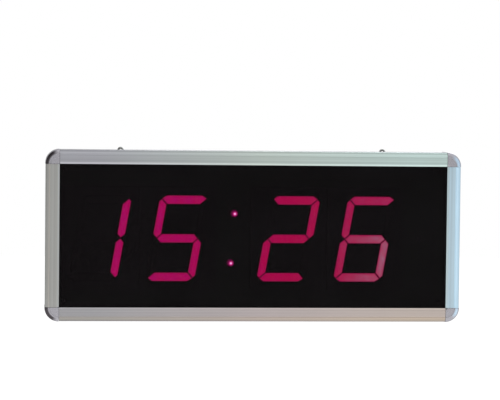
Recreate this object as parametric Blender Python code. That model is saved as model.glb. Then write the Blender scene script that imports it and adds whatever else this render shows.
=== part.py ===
"""Gym round timer: a wall-hung LED clock in an extruded aluminium frame.

The frame is four lengths of one extrusion, joined by four cast corner pieces whose legs slide into
a channel of the extrusion.  A smoked acrylic panel lies in the frame's front slot.  Behind it stand
four slanted seven-segment modules and two colon lamps on one long board.  A sheet cover closes the
back, and carries the control board, the set keys, the supply socket, the power rocker and two
hanging rings.

Units are metres.  X is to the right as seen from the front, Y goes into the wall and Z is up.  The
origin is the middle of the rear cover's outer face.
"""
import math

import bmesh
import bpy
from mathutils import Euler, Matrix, Vector

# ---- driving dimensions -------------------------------------------------------------------------

FIT = 0.0003                # gap kept between two pieces that touch
EDGE = 0.0005               # broken edge of a moulded or turned piece

# Frame
FRAME_WIDTH = 0.4960
FRAME_HEIGHT = 0.2030
FRAME_DEPTH = 0.0400
FACE_WIDTH = 0.0165         # from the outer side to the lip round the panel
WALL = 0.0013               # wall of the extrusion
SHOULDER_WIDTH = 0.0054     # rounded outer edge of the face
SHOULDER_DEPTH = 0.0046
LINE_WIDTH = 0.0008         # fine groove between the shoulder and the flat face
LINE_DEPTH = 0.0005
LIP_WIDTH = 0.0018          # bevel that runs down to the panel
LIP_DEPTH = 0.0014
LIP_THICKNESS = 0.0006
WEB_REACH = 0.0140          # how far the web behind the panel reaches in
CHANNEL_WIDTH = 0.0087      # channel for the corner legs
CHANNEL_DEPTH = 0.0091
CHANNEL_LIP = 0.0025
FLANGE_REACH = 0.0160       # flange that the rear cover is screwed to
FLANGE_THICKNESS = 0.0012
SIDE_GROOVE_WIDTH = 0.0020  # two shallow grooves along the outer wall
SIDE_GROOVE_DEPTH = 0.0004
SIDE_GROOVE_PLACES = (0.0150, 0.0270)

# Corner pieces
CAP_PROUD = 0.0004          # how far a corner stands out over the rails
CAP_NOSE = 0.0004           # radius left at the panel's corner
LEG_LENGTH = 0.0200
LEG_OVERLAP = 0.0020        # how far a leg runs back into the corner's block

# Front panel and rear cover
PANEL_THICKNESS = 0.0030
COVER_THICKNESS = 0.0010

# Seven-segment modules
DIGIT_HEIGHT = 0.1016
BAR = 0.0098                # height of a level segment
POST = 0.0088               # width of an upright segment
POST_PITCH = 0.0496         # between the middles of the two uprights
SLANT = math.radians(10.0)
SEGMENT_GAP = 0.0012
BAR_CHAMFER = 0.0034        # cut off the outer corners of a level segment
POST_CHAMFER = 0.0026       # and of an upright one
MODULE_SIDE = 0.00684       # housing left beside and above the slanted digit
MODULE_END = 0.0102
MODULE_DEPTH = 0.0120
MODULE_SPACE = 0.0022       # between neighbouring housings
COLON_SPACE = 0.0407        # added between the second and the third module
MODULE_MARGIN = 0.00515     # from the left rail's web to the first module
MODULE_DROP = 0.0028        # how far the digits sit below the frame's middle
POTTING_THICKNESS = 0.0027
MODULE_WALL = 0.0015
WELL_CLEARANCE = 0.00025
PIN_SIZE = 0.0007
PIN_LENGTH = 0.0034
PIN_PITCH = 0.0100
PINS_PER_ROW = 3
PIN_INSET = 0.0060          # from the housing's top or bottom

# Colon lamps
LAMP_RADIUS = 0.0040
LAMP_LENGTH = 0.0105
LAMP_RIM_WIDTH = 0.0005
LAMP_RIM_HEIGHT = 0.0010
LAMP_RISE = 0.0295          # from the colon's middle to each lamp
LAMP_SHIFT = 0.0021         # sideways, as the digits slant
LEG_WIRE = 0.0006
LEG_PITCH = 0.00254
LEG_TAIL = 0.0015           # how far a leg stands out behind the board

# Boards
BOARD_THICKNESS = 0.0016
DISPLAY_BOARD_INSET = 0.0155    # from the frame's outer side to the board's edge
CONTROL_BOARD_WIDTH = 0.1200
CONTROL_BOARD_HEIGHT = 0.0600
CONTROL_BOARD_RISE = 0.0615     # from the frame's underside to the board's middle
CONTROL_BOARD_STANDOFF = 0.0070
SUPPORT_INSET = 0.0080          # from the control board's edge
SUPPORT_RADIUS = 0.0030
SUPPORT_PAD_RADIUS = 0.0065
SUPPORT_PAD_THICKNESS = 0.0015
SUPPORT_NECK_RADIUS = 0.0016
SUPPORT_HOLE_RADIUS = 0.0019
SUPPORT_TIP_RADIUS = 0.0024
SUPPORT_TIP_LENGTH = 0.0030

# On the control board: X is counted from its middle
KEY_PITCH = 0.0140
KEY_X = -0.0300             # middle one of the row of keys
KEY_COUNT = 3
KEY_RADIUS = 0.0032
KEY_FLANGE_RADIUS = 0.0044
KEY_FLANGE_THICKNESS = 0.0014
KEY_RISE = 0.0012           # stands out of the rear cover
KEY_STEM_RADIUS = 0.0016
KEY_STEM_LENGTH = 0.0023
SWITCH_SIDE = 0.0060
SWITCH_HEIGHT = 0.0035
SWITCH_BORE_DEPTH = 0.0020
SOUNDER_RADIUS = 0.0120
SOUNDER_MOUTH_RADIUS = 0.0015
SOUNDER_X = 0.0300
SOUNDER_HOLE_RADIUS = 0.0011
SOUNDER_HOLE_CIRCLE = 0.0055
CELL_RADIUS = 0.0100
CELL_THICKNESS = 0.0032
CELL_X = 0.0032
HOLDER_WALL = 0.0015
HOLDER_FLOOR = 0.0010
RIBBON_WIDTH = 0.0150
RIBBON_THICKNESS = 0.0009
RIBBON_UP = 0.0460          # from the control board's middle to the upper plug
RIBBON_DOWN = 0.0100        # and to the lower plug
RIBBON_PLUG_DEPTH = 0.0035
RIBBON_PLUG_HEIGHT = 0.0060

# Supply socket and power rocker
JACK_FROM_BOARD = 0.0300    # from the control board's end to the socket's middle
JACK_RISE = 0.0465          # above the frame's underside
JACK_FLANGE_RADIUS = 0.0058
JACK_FLANGE_THICKNESS = 0.0015
JACK_BARREL_RADIUS = 0.0039
JACK_BARREL_LENGTH = 0.0120
JACK_BORE_RADIUS = 0.00285
JACK_BORE_DEPTH = 0.0095
JACK_PIN_RADIUS = 0.0010
JACK_TAG = 0.0030
NUT_ACROSS_FLATS = 0.0105
NUT_THICKNESS = 0.0020
ROCKER_FROM_JACK = 0.0300
ROCKER_BEZEL = (0.0150, 0.0210)
ROCKER_BEZEL_THICKNESS = 0.0015
ROCKER_BODY = (0.0129, 0.0192)
ROCKER_BODY_DEPTH = 0.0140
ROCKER_WALL = 0.0011
ROCKER_CAVITY_DEPTH = 0.0085
ROCKER_WIDTH = 0.0098
ROCKER_LENGTH = 0.0152
ROCKER_PIVOT_DEPTH = 0.0020     # below the rear cover's outer face
ROCKER_RISE = 0.0018            # its ends stand this far out of the bezel when level
ROCKER_DISH = 0.0013
ROCKER_BELLY = 0.0044
ROCKER_TILT = math.radians(8.0)
ROCKER_PIN_RADIUS = 0.0010

# Remote-control eye
EYE_FROM_END = 0.0480       # from the frame's right end
EYE_SIZE = (0.0060, 0.0050, 0.0070)
EYE_LENS_RADIUS = 0.0022
EYE_LEG_PITCH = 0.0020

# Hangers and screws
HANGER_FROM_END = 0.0895    # from the frame's end to a hanger's middle
STRAP_WIDTH = 0.0080
STRAP_THICKNESS = 0.0010
STRAP_BELOW_SCREW = 0.0045
STRAP_ROLL_END = -60        # degrees; the roll starts at the cover, at 180
RING_WIRE_RADIUS = 0.00125
RING_BEND_RADIUS = 0.0014
RING_APEX_RADIUS = 0.00255
RING_ABOVE_FRAME = 0.0032
HANGER_SCREW_INSET = 0.0138
COVER_SCREW_INSET = 0.0085
SCREW_RADIUS = 0.00125
SCREW_HOLE_RADIUS = 0.0016
SCREW_HEAD_RADIUS = 0.0028
SCREW_HEAD_HEIGHT = 0.0017
SCREW_HEAD_EDGE = 25        # degrees of the domed head left upright at its edge
SCREW_LENGTH = 0.0055

# Vents in the rear cover
VENT_LENGTH = 0.0300
VENT_RADIUS = 0.0015
VENT_PITCH = 0.0080
VENT_COUNT = 5              # in each group
VENT_GROUPS = (-0.1400, 0.0, 0.1400)
VENT_Z = 0.0300

# ---- places that follow from them ---------------------------------------------------------------

LIP_BACK = LIP_DEPTH + LIP_THICKNESS
PANEL_FRONT = LIP_BACK + FIT
PANEL_BACK = PANEL_FRONT + PANEL_THICKNESS
# The panel's edge lies just clear of the inside of the shoulder, which is a quarter of an ellipse.
INNER_SHOULDER = (SHOULDER_WIDTH - WALL, SHOULDER_DEPTH - LIP_BACK)
PANEL_RISE = (SHOULDER_DEPTH - PANEL_FRONT) / INNER_SHOULDER[1]
PANEL_INSET = SHOULDER_WIDTH - INNER_SHOULDER[0] * math.sqrt(1 - PANEL_RISE ** 2) + 2 * FIT
WEB_FRONT = PANEL_BACK + FIT
WEB_BACK = WEB_FRONT + WALL
CHANNEL_BACK = WEB_BACK + CHANNEL_DEPTH
CHANNEL_SIDE = WALL + CHANNEL_WIDTH
COVER_FRONT = FRAME_DEPTH - COVER_THICKNESS
FLANGE_BACK = COVER_FRONT - FIT
COVER_INSET = WALL + FIT
MODULE_WIDTH = POST_PITCH + POST + DIGIT_HEIGHT * math.tan(SLANT) + 2 * MODULE_SIDE
MODULE_HEIGHT = DIGIT_HEIGHT + 2 * MODULE_END
MODULE_PITCH = MODULE_WIDTH + MODULE_SPACE
MODULE_FRONT = PANEL_BACK + FIT
MODULE_BACK = MODULE_FRONT + MODULE_DEPTH
DISPLAY_BOARD_FRONT = MODULE_BACK + FIT
DISPLAY_BOARD_BACK = DISPLAY_BOARD_FRONT + BOARD_THICKNESS
CONTROL_BOARD_BACK = COVER_FRONT - CONTROL_BOARD_STANDOFF
CONTROL_BOARD_FRONT = CONTROL_BOARD_BACK - BOARD_THICKNESS
CONTROL_Z = CONTROL_BOARD_RISE - FRAME_HEIGHT / 2
FIRST_DIGIT_X = WEB_REACH + MODULE_MARGIN + MODULE_WIDTH / 2 - FRAME_WIDTH / 2
COLON_X = FIRST_DIGIT_X + 1.5 * MODULE_PITCH + COLON_SPACE / 2
JACK_X = CONTROL_BOARD_WIDTH / 2 + JACK_FROM_BOARD
JACK_Z = JACK_RISE - FRAME_HEIGHT / 2
ROCKER_X = JACK_X + ROCKER_FROM_JACK
EYE_X = FRAME_WIDTH / 2 - EYE_FROM_END
HANGER_X = FRAME_WIDTH / 2 - HANGER_FROM_END
ROCKER_PIVOT = FRAME_DEPTH - ROCKER_PIVOT_DEPTH
STRAP_ROLL_RADIUS = RING_WIRE_RADIUS + FIT + STRAP_THICKNESS
# A ring is an equilateral triangle whose slanting sides just clear the ends of the strap's roll.
RING_SIDE = (STRAP_WIDTH + 2 * FIT + 2 * STRAP_ROLL_RADIUS * math.tan(math.radians(30))
             + 2 * RING_WIRE_RADIUS / math.cos(math.radians(30)))

ROUND_SIDES = 16            # facets round a small turned piece
CORNER_STEPS = 8            # facets round a quarter of the frame's corner
RIBBON_STEPS = 10           # along the flat cable's bend

TO_WALL = Euler((-math.pi / 2, 0, 0))    # a turned piece's own +Z points into the wall
TO_FRONT = Euler((math.pi / 2, 0, 0))    # a turned piece's own +Z points to the front


def deep(depth):
    """Y of a place that lies this deep behind the frame's face."""
    return depth - FRAME_DEPTH


# ---- outlines -----------------------------------------------------------------------------------

def arc(centre, radii, start, end, steps):
    """Points of an elliptical arc, in degrees, both ends included."""
    points = []
    for index in range(steps + 1):
        angle = math.radians(start + (end - start) * index / steps)
        points.append((centre[0] + radii[0] * math.cos(angle),
                       centre[1] + radii[1] * math.sin(angle)))
    return points


def circle(centre, radius, sides):
    """A closed regular outline."""
    return arc(centre, (radius, radius), 0, 360, sides)[:-1]


def rectangle(centre, width, height):
    """A closed rectangle, anticlockwise."""
    x, y = centre
    half_w, half_h = width / 2, height / 2
    return [(x - half_w, y - half_h), (x + half_w, y - half_h),
            (x + half_w, y + half_h), (x - half_w, y + half_h)]


def rounded_rectangle(centre, width, height, radius, steps):
    """A closed rectangle with round corners, anticlockwise."""
    x, y = centre
    dx, dy = width / 2 - radius, height / 2 - radius
    outline = []
    for sign_x, sign_y, start in ((1, 1, 0), (-1, 1, 90), (-1, -1, 180), (1, -1, 270)):
        outline += arc((x + sign_x * dx, y + sign_y * dy), (radius, radius),
                       start, start + 90, steps)
    return outline


def slot(centre, length, radius):
    """A closed upright slot with round ends."""
    x, y = centre
    reach = length / 2 - radius
    return (arc((x, y + reach), (radius, radius), 0, 180, 4)
            + arc((x, y - reach), (radius, radius), 180, 360, 4))


def offset_outline(outline, distance):
    """Move each side of an anticlockwise outline outwards, or inwards where distance is negative."""
    count = len(outline)
    moved = []
    for index in range(count):
        before = Vector(outline[index - 1])
        here = Vector(outline[index])
        after = Vector(outline[(index + 1) % count])
        way_in = (here - before).normalized()
        way_out = (after - here).normalized()
        normal_in = Vector((way_in.y, -way_in.x))
        normal_out = Vector((way_out.y, -way_out.x))
        middle = (normal_in + normal_out) / (1 + normal_in.dot(normal_out))
        moved.append(tuple(here + middle * distance))
    return moved


# ---- meshes -------------------------------------------------------------------------------------

def finish_mesh(bm, name):
    """Merge, face outwards and shade a mesh, and hand it over."""
    bmesh.ops.remove_doubles(bm, verts=bm.verts, dist=1e-6)
    bmesh.ops.recalc_face_normals(bm, faces=bm.faces)
    mesh = bpy.data.meshes.new(name)
    bm.to_mesh(mesh)
    bm.free()
    mesh.shade_smooth()
    mesh.set_sharp_from_angle(angle=math.radians(35))
    return mesh


def extruded(name, outlines, start, end, to_world):
    """Extrude closed outlines from start to end; to_world(a, b, t) places a point of one."""
    bm = bmesh.new()
    for outline in outlines:
        verts = [bm.verts.new(to_world(a, b, start)) for a, b in outline]
        face = bm.faces.new(verts)
        grown = bmesh.ops.extrude_face_region(bm, geom=[face], use_keep_orig=True)
        travel = Vector(to_world(0, 0, end)) - Vector(to_world(0, 0, start))
        moved = [item for item in grown["geom"] if isinstance(item, bmesh.types.BMVert)]
        bmesh.ops.translate(bm, verts=moved, vec=travel)
    return finish_mesh(bm, name)


def plate(name, outlines, front, back):
    """Extrude outlines drawn in X and Z between two depths behind the frame's face."""
    return extruded(name, outlines, deep(front), deep(back), lambda x, z, y: (x, y, z))


def turned(name, profile, sides=ROUND_SIDES):
    """Turn a profile of (radius, height) points, from the axis to the axis, about Z."""
    bm = bmesh.new()
    verts = [bm.verts.new((radius, 0, height)) for radius, height in profile]
    edges = [bm.edges.new(pair) for pair in zip(verts, verts[1:])]
    bmesh.ops.spin(bm, geom=verts + edges, cent=(0, 0, 0), axis=(0, 0, 1),
                   angle=2 * math.pi, steps=sides, use_merge=True)
    return finish_mesh(bm, name)


def joined_by(operation, base, tool):
    """The mesh that a union or a difference of two meshes leaves."""
    target = bpy.data.objects.new("target", base)
    helper = bpy.data.objects.new("helper", tool)
    for item in (target, helper):
        bpy.context.scene.collection.objects.link(item)
    modifier = target.modifiers.new("join", "BOOLEAN")
    modifier.operation = operation
    modifier.object = helper
    bpy.context.view_layer.update()
    graph = bpy.context.evaluated_depsgraph_get()
    mesh = bpy.data.meshes.new_from_object(target.evaluated_get(graph))
    mesh.name = base.name
    for item in (target, helper):
        bpy.data.objects.remove(item, do_unlink=True)
    mesh.shade_smooth()
    mesh.set_sharp_from_angle(angle=math.radians(35))
    return mesh


def cut(base, tool):
    """The base less the tool."""
    return joined_by("DIFFERENCE", base, tool)


def fuse(base, tool):
    """The base and the tool as one body."""
    return joined_by("UNION", base, tool)


# ---- materials and placing ----------------------------------------------------------------------

def material(name, colour, roughness, metallic=0.0):
    """A plain finish for one kind of piece."""
    made = bpy.data.materials.new(name)
    made.use_nodes = True
    shader = made.node_tree.nodes["Principled BSDF"]
    shader.inputs["Base Color"].default_value = (*colour, 1.0)
    shader.inputs["Roughness"].default_value = roughness
    shader.inputs["Metallic"].default_value = metallic
    return made


def place(name, mesh, finish, location=(0, 0, 0), rotation=(0, 0, 0)):
    """Put a mesh in the scene as a named piece."""
    item = bpy.data.objects.new(name, mesh)
    item.location = location
    item.rotation_euler = rotation
    if not mesh.materials:
        mesh.materials.append(finish)
    bpy.context.scene.collection.objects.link(item)
    return item


# ---- extruded frame -----------------------------------------------------------------------------

def skin_outline(proud=0.0):
    """Outer skin as (in, deep) points, from the rear edge over the shoulder to the lip."""
    points = [(-proud, FRAME_DEPTH)]
    for place_deep in reversed(SIDE_GROOVE_PLACES):
        half = SIDE_GROOVE_WIDTH / 2
        chamfer = SIDE_GROOVE_DEPTH
        points += [(-proud, place_deep + half),
                   (SIDE_GROOVE_DEPTH - proud, place_deep + half - chamfer),
                   (SIDE_GROOVE_DEPTH - proud, place_deep - half + chamfer),
                   (-proud, place_deep - half)]
    shoulder = arc((SHOULDER_WIDTH, SHOULDER_DEPTH),
                   (SHOULDER_WIDTH + proud, SHOULDER_DEPTH + proud), 180, 270, 6)
    points += shoulder
    line_end = SHOULDER_WIDTH + LINE_WIDTH
    points += [(SHOULDER_WIDTH, LINE_DEPTH - proud),
               (line_end, LINE_DEPTH - proud),
               (line_end, -proud),
               (FACE_WIDTH - LIP_WIDTH, -proud)]
    return points


def slot_outline(reach):
    """Inside of the panel's slot as (in, deep) points, from the lip's back to the web's front."""
    shoulder = arc((SHOULDER_WIDTH, SHOULDER_DEPTH), INNER_SHOULDER, 270, 180, 4)
    return shoulder + [(WALL, WEB_FRONT), (reach, WEB_FRONT), (reach, WEB_BACK)]


def rail_outline():
    """Closed section of the extrusion as (in, deep) points."""
    lip_side = CHANNEL_SIDE + WALL
    outline = skin_outline()
    outline += [(FACE_WIDTH, LIP_DEPTH), (FACE_WIDTH, LIP_BACK)]
    outline += slot_outline(WEB_REACH)
    outline += [(lip_side, WEB_BACK), (lip_side, WEB_BACK + CHANNEL_LIP),
                (CHANNEL_SIDE, WEB_BACK + CHANNEL_LIP), (CHANNEL_SIDE, WEB_BACK),
                (WALL, WEB_BACK), (WALL, CHANNEL_BACK),
                (CHANNEL_SIDE, CHANNEL_BACK), (CHANNEL_SIDE, CHANNEL_BACK - CHANNEL_LIP),
                (lip_side, CHANNEL_BACK - CHANNEL_LIP), (lip_side, CHANNEL_BACK + WALL),
                (WALL, CHANNEL_BACK + WALL)]
    outline += [(WALL, FLANGE_BACK - FLANGE_THICKNESS), (FLANGE_REACH, FLANGE_BACK - FLANGE_THICKNESS),
                (FLANGE_REACH, FLANGE_BACK), (WALL, FLANGE_BACK), (WALL, FRAME_DEPTH)]
    return outline


def rail_mesh(name, length, holes):
    """One length of the extrusion along X, its outer side at Z 0, with screw holes (x, in)."""
    rail = extruded(name, [rail_outline()], -length / 2, length / 2,
                    lambda inwards, depth, x: (x, deep(depth), -inwards))
    rounds = [circle((x, -inwards), SCREW_HOLE_RADIUS, 8) for x, inwards in holes]
    drill = plate("drill", rounds, FLANGE_BACK - 2 * FLANGE_THICKNESS, FLANGE_BACK + FLANGE_THICKNESS)
    return cut(rail, drill)


def build_rails(finish):
    """Four rails, cut square at the corner pieces."""
    long_side = FRAME_WIDTH - 2 * FACE_WIDTH - 2 * FIT
    short_side = FRAME_HEIGHT - 2 * FACE_WIDTH - 2 * FIT
    top_holes = [(0, COVER_SCREW_INSET), (-HANGER_X, HANGER_SCREW_INSET),
                 (HANGER_X, HANGER_SCREW_INSET)]
    bottom_holes = [(x, COVER_SCREW_INSET) for x in (-HANGER_X, 0, HANGER_X)]
    side_holes = [(0, COVER_SCREW_INSET)]
    place("rail_top", rail_mesh("rail_top", long_side, top_holes), finish,
          (0, 0, FRAME_HEIGHT / 2))
    place("rail_bottom", rail_mesh("rail_bottom", long_side, bottom_holes), finish,
          (0, 0, -FRAME_HEIGHT / 2), (0, math.pi, 0))
    place("rail_right", rail_mesh("rail_right", short_side, side_holes), finish,
          (FRAME_WIDTH / 2, 0, 0), (0, math.pi / 2, 0))
    place("rail_left", rail_mesh("rail_left", short_side, side_holes), finish,
          (-FRAME_WIDTH / 2, 0, 0), (0, -math.pi / 2, 0))


def cap_outline():
    """Closed section of a corner piece as (in, deep) points, with its channel filled."""
    nose = FACE_WIDTH - CAP_NOSE
    block = CHANNEL_SIDE + WALL
    outline = skin_outline(CAP_PROUD)
    outline += [(nose, LIP_DEPTH - CAP_PROUD), (nose, LIP_BACK)]
    outline += slot_outline(WEB_REACH)
    outline += [(block, WEB_BACK), (block, CHANNEL_BACK + WALL), (WALL, CHANNEL_BACK + WALL),
                (WALL, FLANGE_BACK - FLANGE_THICKNESS), (nose, FLANGE_BACK - FLANGE_THICKNESS),
                (nose, FLANGE_BACK), (WALL, FLANGE_BACK), (WALL, FRAME_DEPTH)]
    return outline


def corner_mesh():
    """A corner piece for the top right, about the panel's corner: a quarter turn and two legs."""
    bm = bmesh.new()
    section = [bm.verts.new((0, deep(depth), FACE_WIDTH - inwards)) for inwards, depth in cap_outline()]
    face = bm.faces.new(section)
    bmesh.ops.spin(bm, geom=[face], cent=(0, 0, 0), axis=(0, 1, 0),
                   angle=math.pi / 2, steps=CORNER_STEPS, use_duplicate=False)
    cap = finish_mesh(bm, "corner")
    width = CHANNEL_WIDTH - 2 * FIT
    middle = FACE_WIDTH - WALL - CHANNEL_WIDTH / 2
    reach = LEG_LENGTH + LEG_OVERLAP
    inner = (LEG_OVERLAP - LEG_LENGTH) / 2
    for centre, size in (((inner, middle), (reach, width)), ((middle, inner), (width, reach))):
        leg = plate("leg", [rectangle(centre, *size)], WEB_BACK + FIT, CHANNEL_BACK - FIT)
        cap = fuse(cap, leg)
    return cap


def build_corners(finish):
    """The same corner piece four times."""
    mesh = corner_mesh()
    x = FRAME_WIDTH / 2 - FACE_WIDTH
    z = FRAME_HEIGHT / 2 - FACE_WIDTH
    places = (("corner_top_right", x, z, 0), ("corner_bottom_right", x, -z, 90),
              ("corner_bottom_left", -x, -z, 180), ("corner_top_left", -x, z, 270))
    for name, at_x, at_z, turn in places:
        place(name, mesh, finish, (at_x, 0, at_z), (0, math.radians(turn), 0))


def build_panel(finish):
    """Smoked acrylic sheet, round at its corners so that it clears the corner pieces."""
    outline = rounded_rectangle((0, 0), FRAME_WIDTH - 2 * PANEL_INSET, FRAME_HEIGHT - 2 * PANEL_INSET,
                                FACE_WIDTH - PANEL_INSET, 5)
    place("front_panel", plate("front_panel", [outline], PANEL_FRONT, PANEL_BACK), finish)


# ---- seven-segment modules ----------------------------------------------------------------------

def segment_outlines():
    """The seven slanted segments of a digit about its middle, anticlockwise, a to g."""
    outer_x = (POST_PITCH + POST) / 2
    inner_x = (POST_PITCH - POST) / 2
    outer_z = DIGIT_HEIGHT / 2
    inner_z = outer_z - BAR
    half = SEGMENT_GAP / math.sqrt(2)
    # The gap at a corner follows a 45 degree line from the inner corner; tips lie near the outside.
    bar_tip_z = outer_z - BAR_CHAMFER
    bar_tip_x = inner_x + (bar_tip_z - inner_z) - half
    post_tip_x = outer_x - POST_CHAMFER
    post_tip_z = inner_z + (post_tip_x - inner_x) - half
    top = [(bar_tip_x, bar_tip_z), (bar_tip_x - BAR_CHAMFER, outer_z),
           (-bar_tip_x + BAR_CHAMFER, outer_z), (-bar_tip_x, bar_tip_z),
           (-inner_x + half, inner_z), (inner_x - half, inner_z)]
    foot = half + POST / 2
    right = [(POST_PITCH / 2, half), (outer_x, foot),
             (outer_x, post_tip_z - POST_CHAMFER), (post_tip_x, post_tip_z),
             (inner_x, inner_z - half), (inner_x, foot)]
    middle_tip = POST_PITCH / 2 - half
    middle = [(middle_tip, 0), (middle_tip - BAR / 2, BAR / 2), (-middle_tip + BAR / 2, BAR / 2),
              (-middle_tip, 0), (-middle_tip + BAR / 2, -BAR / 2), (middle_tip - BAR / 2, -BAR / 2)]

    def flip(outline, sign_x, sign_z):
        points = [(sign_x * x, sign_z * z) for x, z in outline]
        return points if sign_x * sign_z > 0 else points[::-1]

    upright = [top, right, flip(right, 1, -1), flip(top, 1, -1),
               flip(right, -1, -1), flip(right, -1, 1), middle]
    return [[(x + z * math.tan(SLANT), z) for x, z in outline] for outline in upright]


def digit_places():
    """X of the four digits."""
    return [FIRST_DIGIT_X + index * MODULE_PITCH + (COLON_SPACE if index > 1 else 0)
            for index in range(4)]


def pin_places():
    """Middles of a module's pins about its own middle."""
    reach = (PINS_PER_ROW - 1) / 2
    return [((index - reach) * PIN_PITCH, side * (MODULE_HEIGHT / 2 - PIN_INSET))
            for side in (-1, 1) for index in range(PINS_PER_ROW)]


def build_modules(housing_finish, segment_finish):
    """Housings with seven wells, and the cast resin that fills the wells and closes the back."""
    pocket = POTTING_THICKNESS + FIT
    floor = MODULE_BACK - pocket
    housing = plate("housing", [rectangle((0, 0), MODULE_WIDTH, MODULE_HEIGHT)],
                    MODULE_FRONT, MODULE_BACK)
    inner = (MODULE_WIDTH - 2 * MODULE_WALL, MODULE_HEIGHT - 2 * MODULE_WALL)
    housing = cut(housing, plate("pocket", [rectangle((0, 0), *inner)], floor, MODULE_BACK + pocket))
    wells = [offset_outline(outline, WELL_CLEARANCE) for outline in segment_outlines()]
    housing = cut(housing, plate("wells", wells, MODULE_FRONT - FIT, floor + FIT))

    resin = plate("resin", [rectangle((0, 0), inner[0] - 2 * FIT, inner[1] - 2 * FIT)],
                  floor + FIT, MODULE_BACK)
    resin = fuse(resin, plate("bars", segment_outlines(), MODULE_FRONT, floor + POTTING_THICKNESS / 2))
    pins = [rectangle(centre, PIN_SIZE, PIN_SIZE) for centre in pin_places()]
    resin = fuse(resin, plate("pins", pins, floor + POTTING_THICKNESS / 2, MODULE_BACK + PIN_LENGTH))
    for index, x in enumerate(digit_places(), 1):
        place(f"digit_housing_{index}", housing, housing_finish, (x, 0, -MODULE_DROP))
        place(f"digit_segments_{index}", resin, segment_finish, (x, 0, -MODULE_DROP))


def lamp_places():
    """Middles of the two colon lamps."""
    return {"colon_lamp_upper": (COLON_X + LAMP_SHIFT, LAMP_RISE - MODULE_DROP),
            "colon_lamp_lower": (COLON_X - LAMP_SHIFT, -LAMP_RISE - MODULE_DROP)}


def build_colon(finish):
    """Round lamps with a domed end at the panel, a rim at the board and two legs through it."""
    base = DISPLAY_BOARD_FRONT - FIT
    body = LAMP_LENGTH - LAMP_RADIUS
    dome = arc((0, body), (LAMP_RADIUS, LAMP_RADIUS), 0, 90, 5)
    rim = LAMP_RADIUS + LAMP_RIM_WIDTH
    lamp = turned("lamp", [(0, 0), (rim, 0), (rim, LAMP_RIM_HEIGHT),
                           (LAMP_RADIUS, LAMP_RIM_HEIGHT)] + dome)
    lamp.transform(Matrix.Translation((0, deep(base), 0)) @ TO_FRONT.to_matrix().to_4x4())
    legs = [rectangle((side * LEG_PITCH / 2, 0), LEG_WIRE, LEG_WIRE) for side in (-1, 1)]
    lamp = fuse(lamp, plate("legs", legs, base - LAMP_RIM_HEIGHT / 2, DISPLAY_BOARD_BACK + LEG_TAIL))
    for name, (x, z) in lamp_places().items():
        place(name, lamp, finish, (x, 0, z))


def build_eye(finish):
    """Remote-control eye: a small block with a round lens and three legs to the board."""
    width, depth, height = EYE_SIZE
    front = MODULE_FRONT + EYE_LENS_RADIUS
    eye = plate("eye", [rectangle((0, 0), width, height)], front, front + depth)
    lens = turned("lens", [(0, 0), (EYE_LENS_RADIUS, 0)]
                  + arc((0, depth / 2), (EYE_LENS_RADIUS, EYE_LENS_RADIUS), 0, 90, 4))
    lens.transform(Matrix.Translation((0, deep(front + depth / 2), 0)) @ TO_FRONT.to_matrix().to_4x4())
    eye = fuse(eye, lens)
    legs = [rectangle((index * EYE_LEG_PITCH, 0), LEG_WIRE, LEG_WIRE) for index in (-1, 0, 1)]
    eye = fuse(eye, plate("legs", legs, front + depth / 2, DISPLAY_BOARD_BACK + LEG_TAIL))
    place("remote_eye", eye, finish, (EYE_X, 0, -MODULE_DROP))


# ---- boards and what holds them -----------------------------------------------------------------

def display_support_places():
    """Middles of the display board's four supports, whose pads just clear the rails' flanges."""
    inset = FLANGE_REACH + SUPPORT_PAD_RADIUS + 2 * FIT
    reach = FRAME_WIDTH / 2 - inset
    rise = FRAME_HEIGHT / 2 - inset
    return [(sign_x * reach, sign_z * rise) for sign_x in (-1, 1) for sign_z in (-1, 1)]


def control_support_places():
    """Middles of the control board's four supports."""
    reach = CONTROL_BOARD_WIDTH / 2 - SUPPORT_INSET
    rise = CONTROL_BOARD_HEIGHT / 2 - SUPPORT_INSET
    return [(sign_x * reach, CONTROL_Z + sign_z * rise) for sign_x in (-1, 1) for sign_z in (-1, 1)]


def build_display_board(finish):
    """Board that fills the frame behind the modules, drilled for pins, lamp legs and supports."""
    outline = rectangle((0, 0), FRAME_WIDTH - 2 * DISPLAY_BOARD_INSET,
                        FRAME_HEIGHT - 2 * DISPLAY_BOARD_INSET)
    board = plate("display_board", [outline], DISPLAY_BOARD_FRONT, DISPLAY_BOARD_BACK)
    leg_hole = LEG_WIRE + 2 * FIT
    pin_hole = PIN_SIZE + 2 * FIT
    holes = [circle(centre, SUPPORT_HOLE_RADIUS, 8) for centre in display_support_places()]
    for x, z in lamp_places().values():
        holes += [rectangle((x + side * LEG_PITCH / 2, z), leg_hole, leg_hole) for side in (-1, 1)]
    holes += [rectangle((EYE_X + index * EYE_LEG_PITCH, -MODULE_DROP), leg_hole, leg_hole)
              for index in (-1, 0, 1)]
    for x in digit_places():
        holes += [rectangle((x + pin_x, pin_z - MODULE_DROP), pin_hole, pin_hole)
                  for pin_x, pin_z in pin_places()]
    drill = plate("drill", holes, DISPLAY_BOARD_FRONT - FIT, DISPLAY_BOARD_BACK + FIT)
    place("display_board", cut(board, drill), finish)


def build_control_board(finish):
    """Board behind the rear cover's keys, drilled for its supports."""
    outline = rectangle((0, CONTROL_Z), CONTROL_BOARD_WIDTH, CONTROL_BOARD_HEIGHT)
    board = plate("control_board", [outline], CONTROL_BOARD_FRONT, CONTROL_BOARD_BACK)
    holes = [circle(centre, SUPPORT_HOLE_RADIUS, 8) for centre in control_support_places()]
    drill = plate("drill", holes, CONTROL_BOARD_FRONT - FIT, CONTROL_BOARD_BACK + FIT)
    place("control_board", cut(board, drill), finish)


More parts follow.
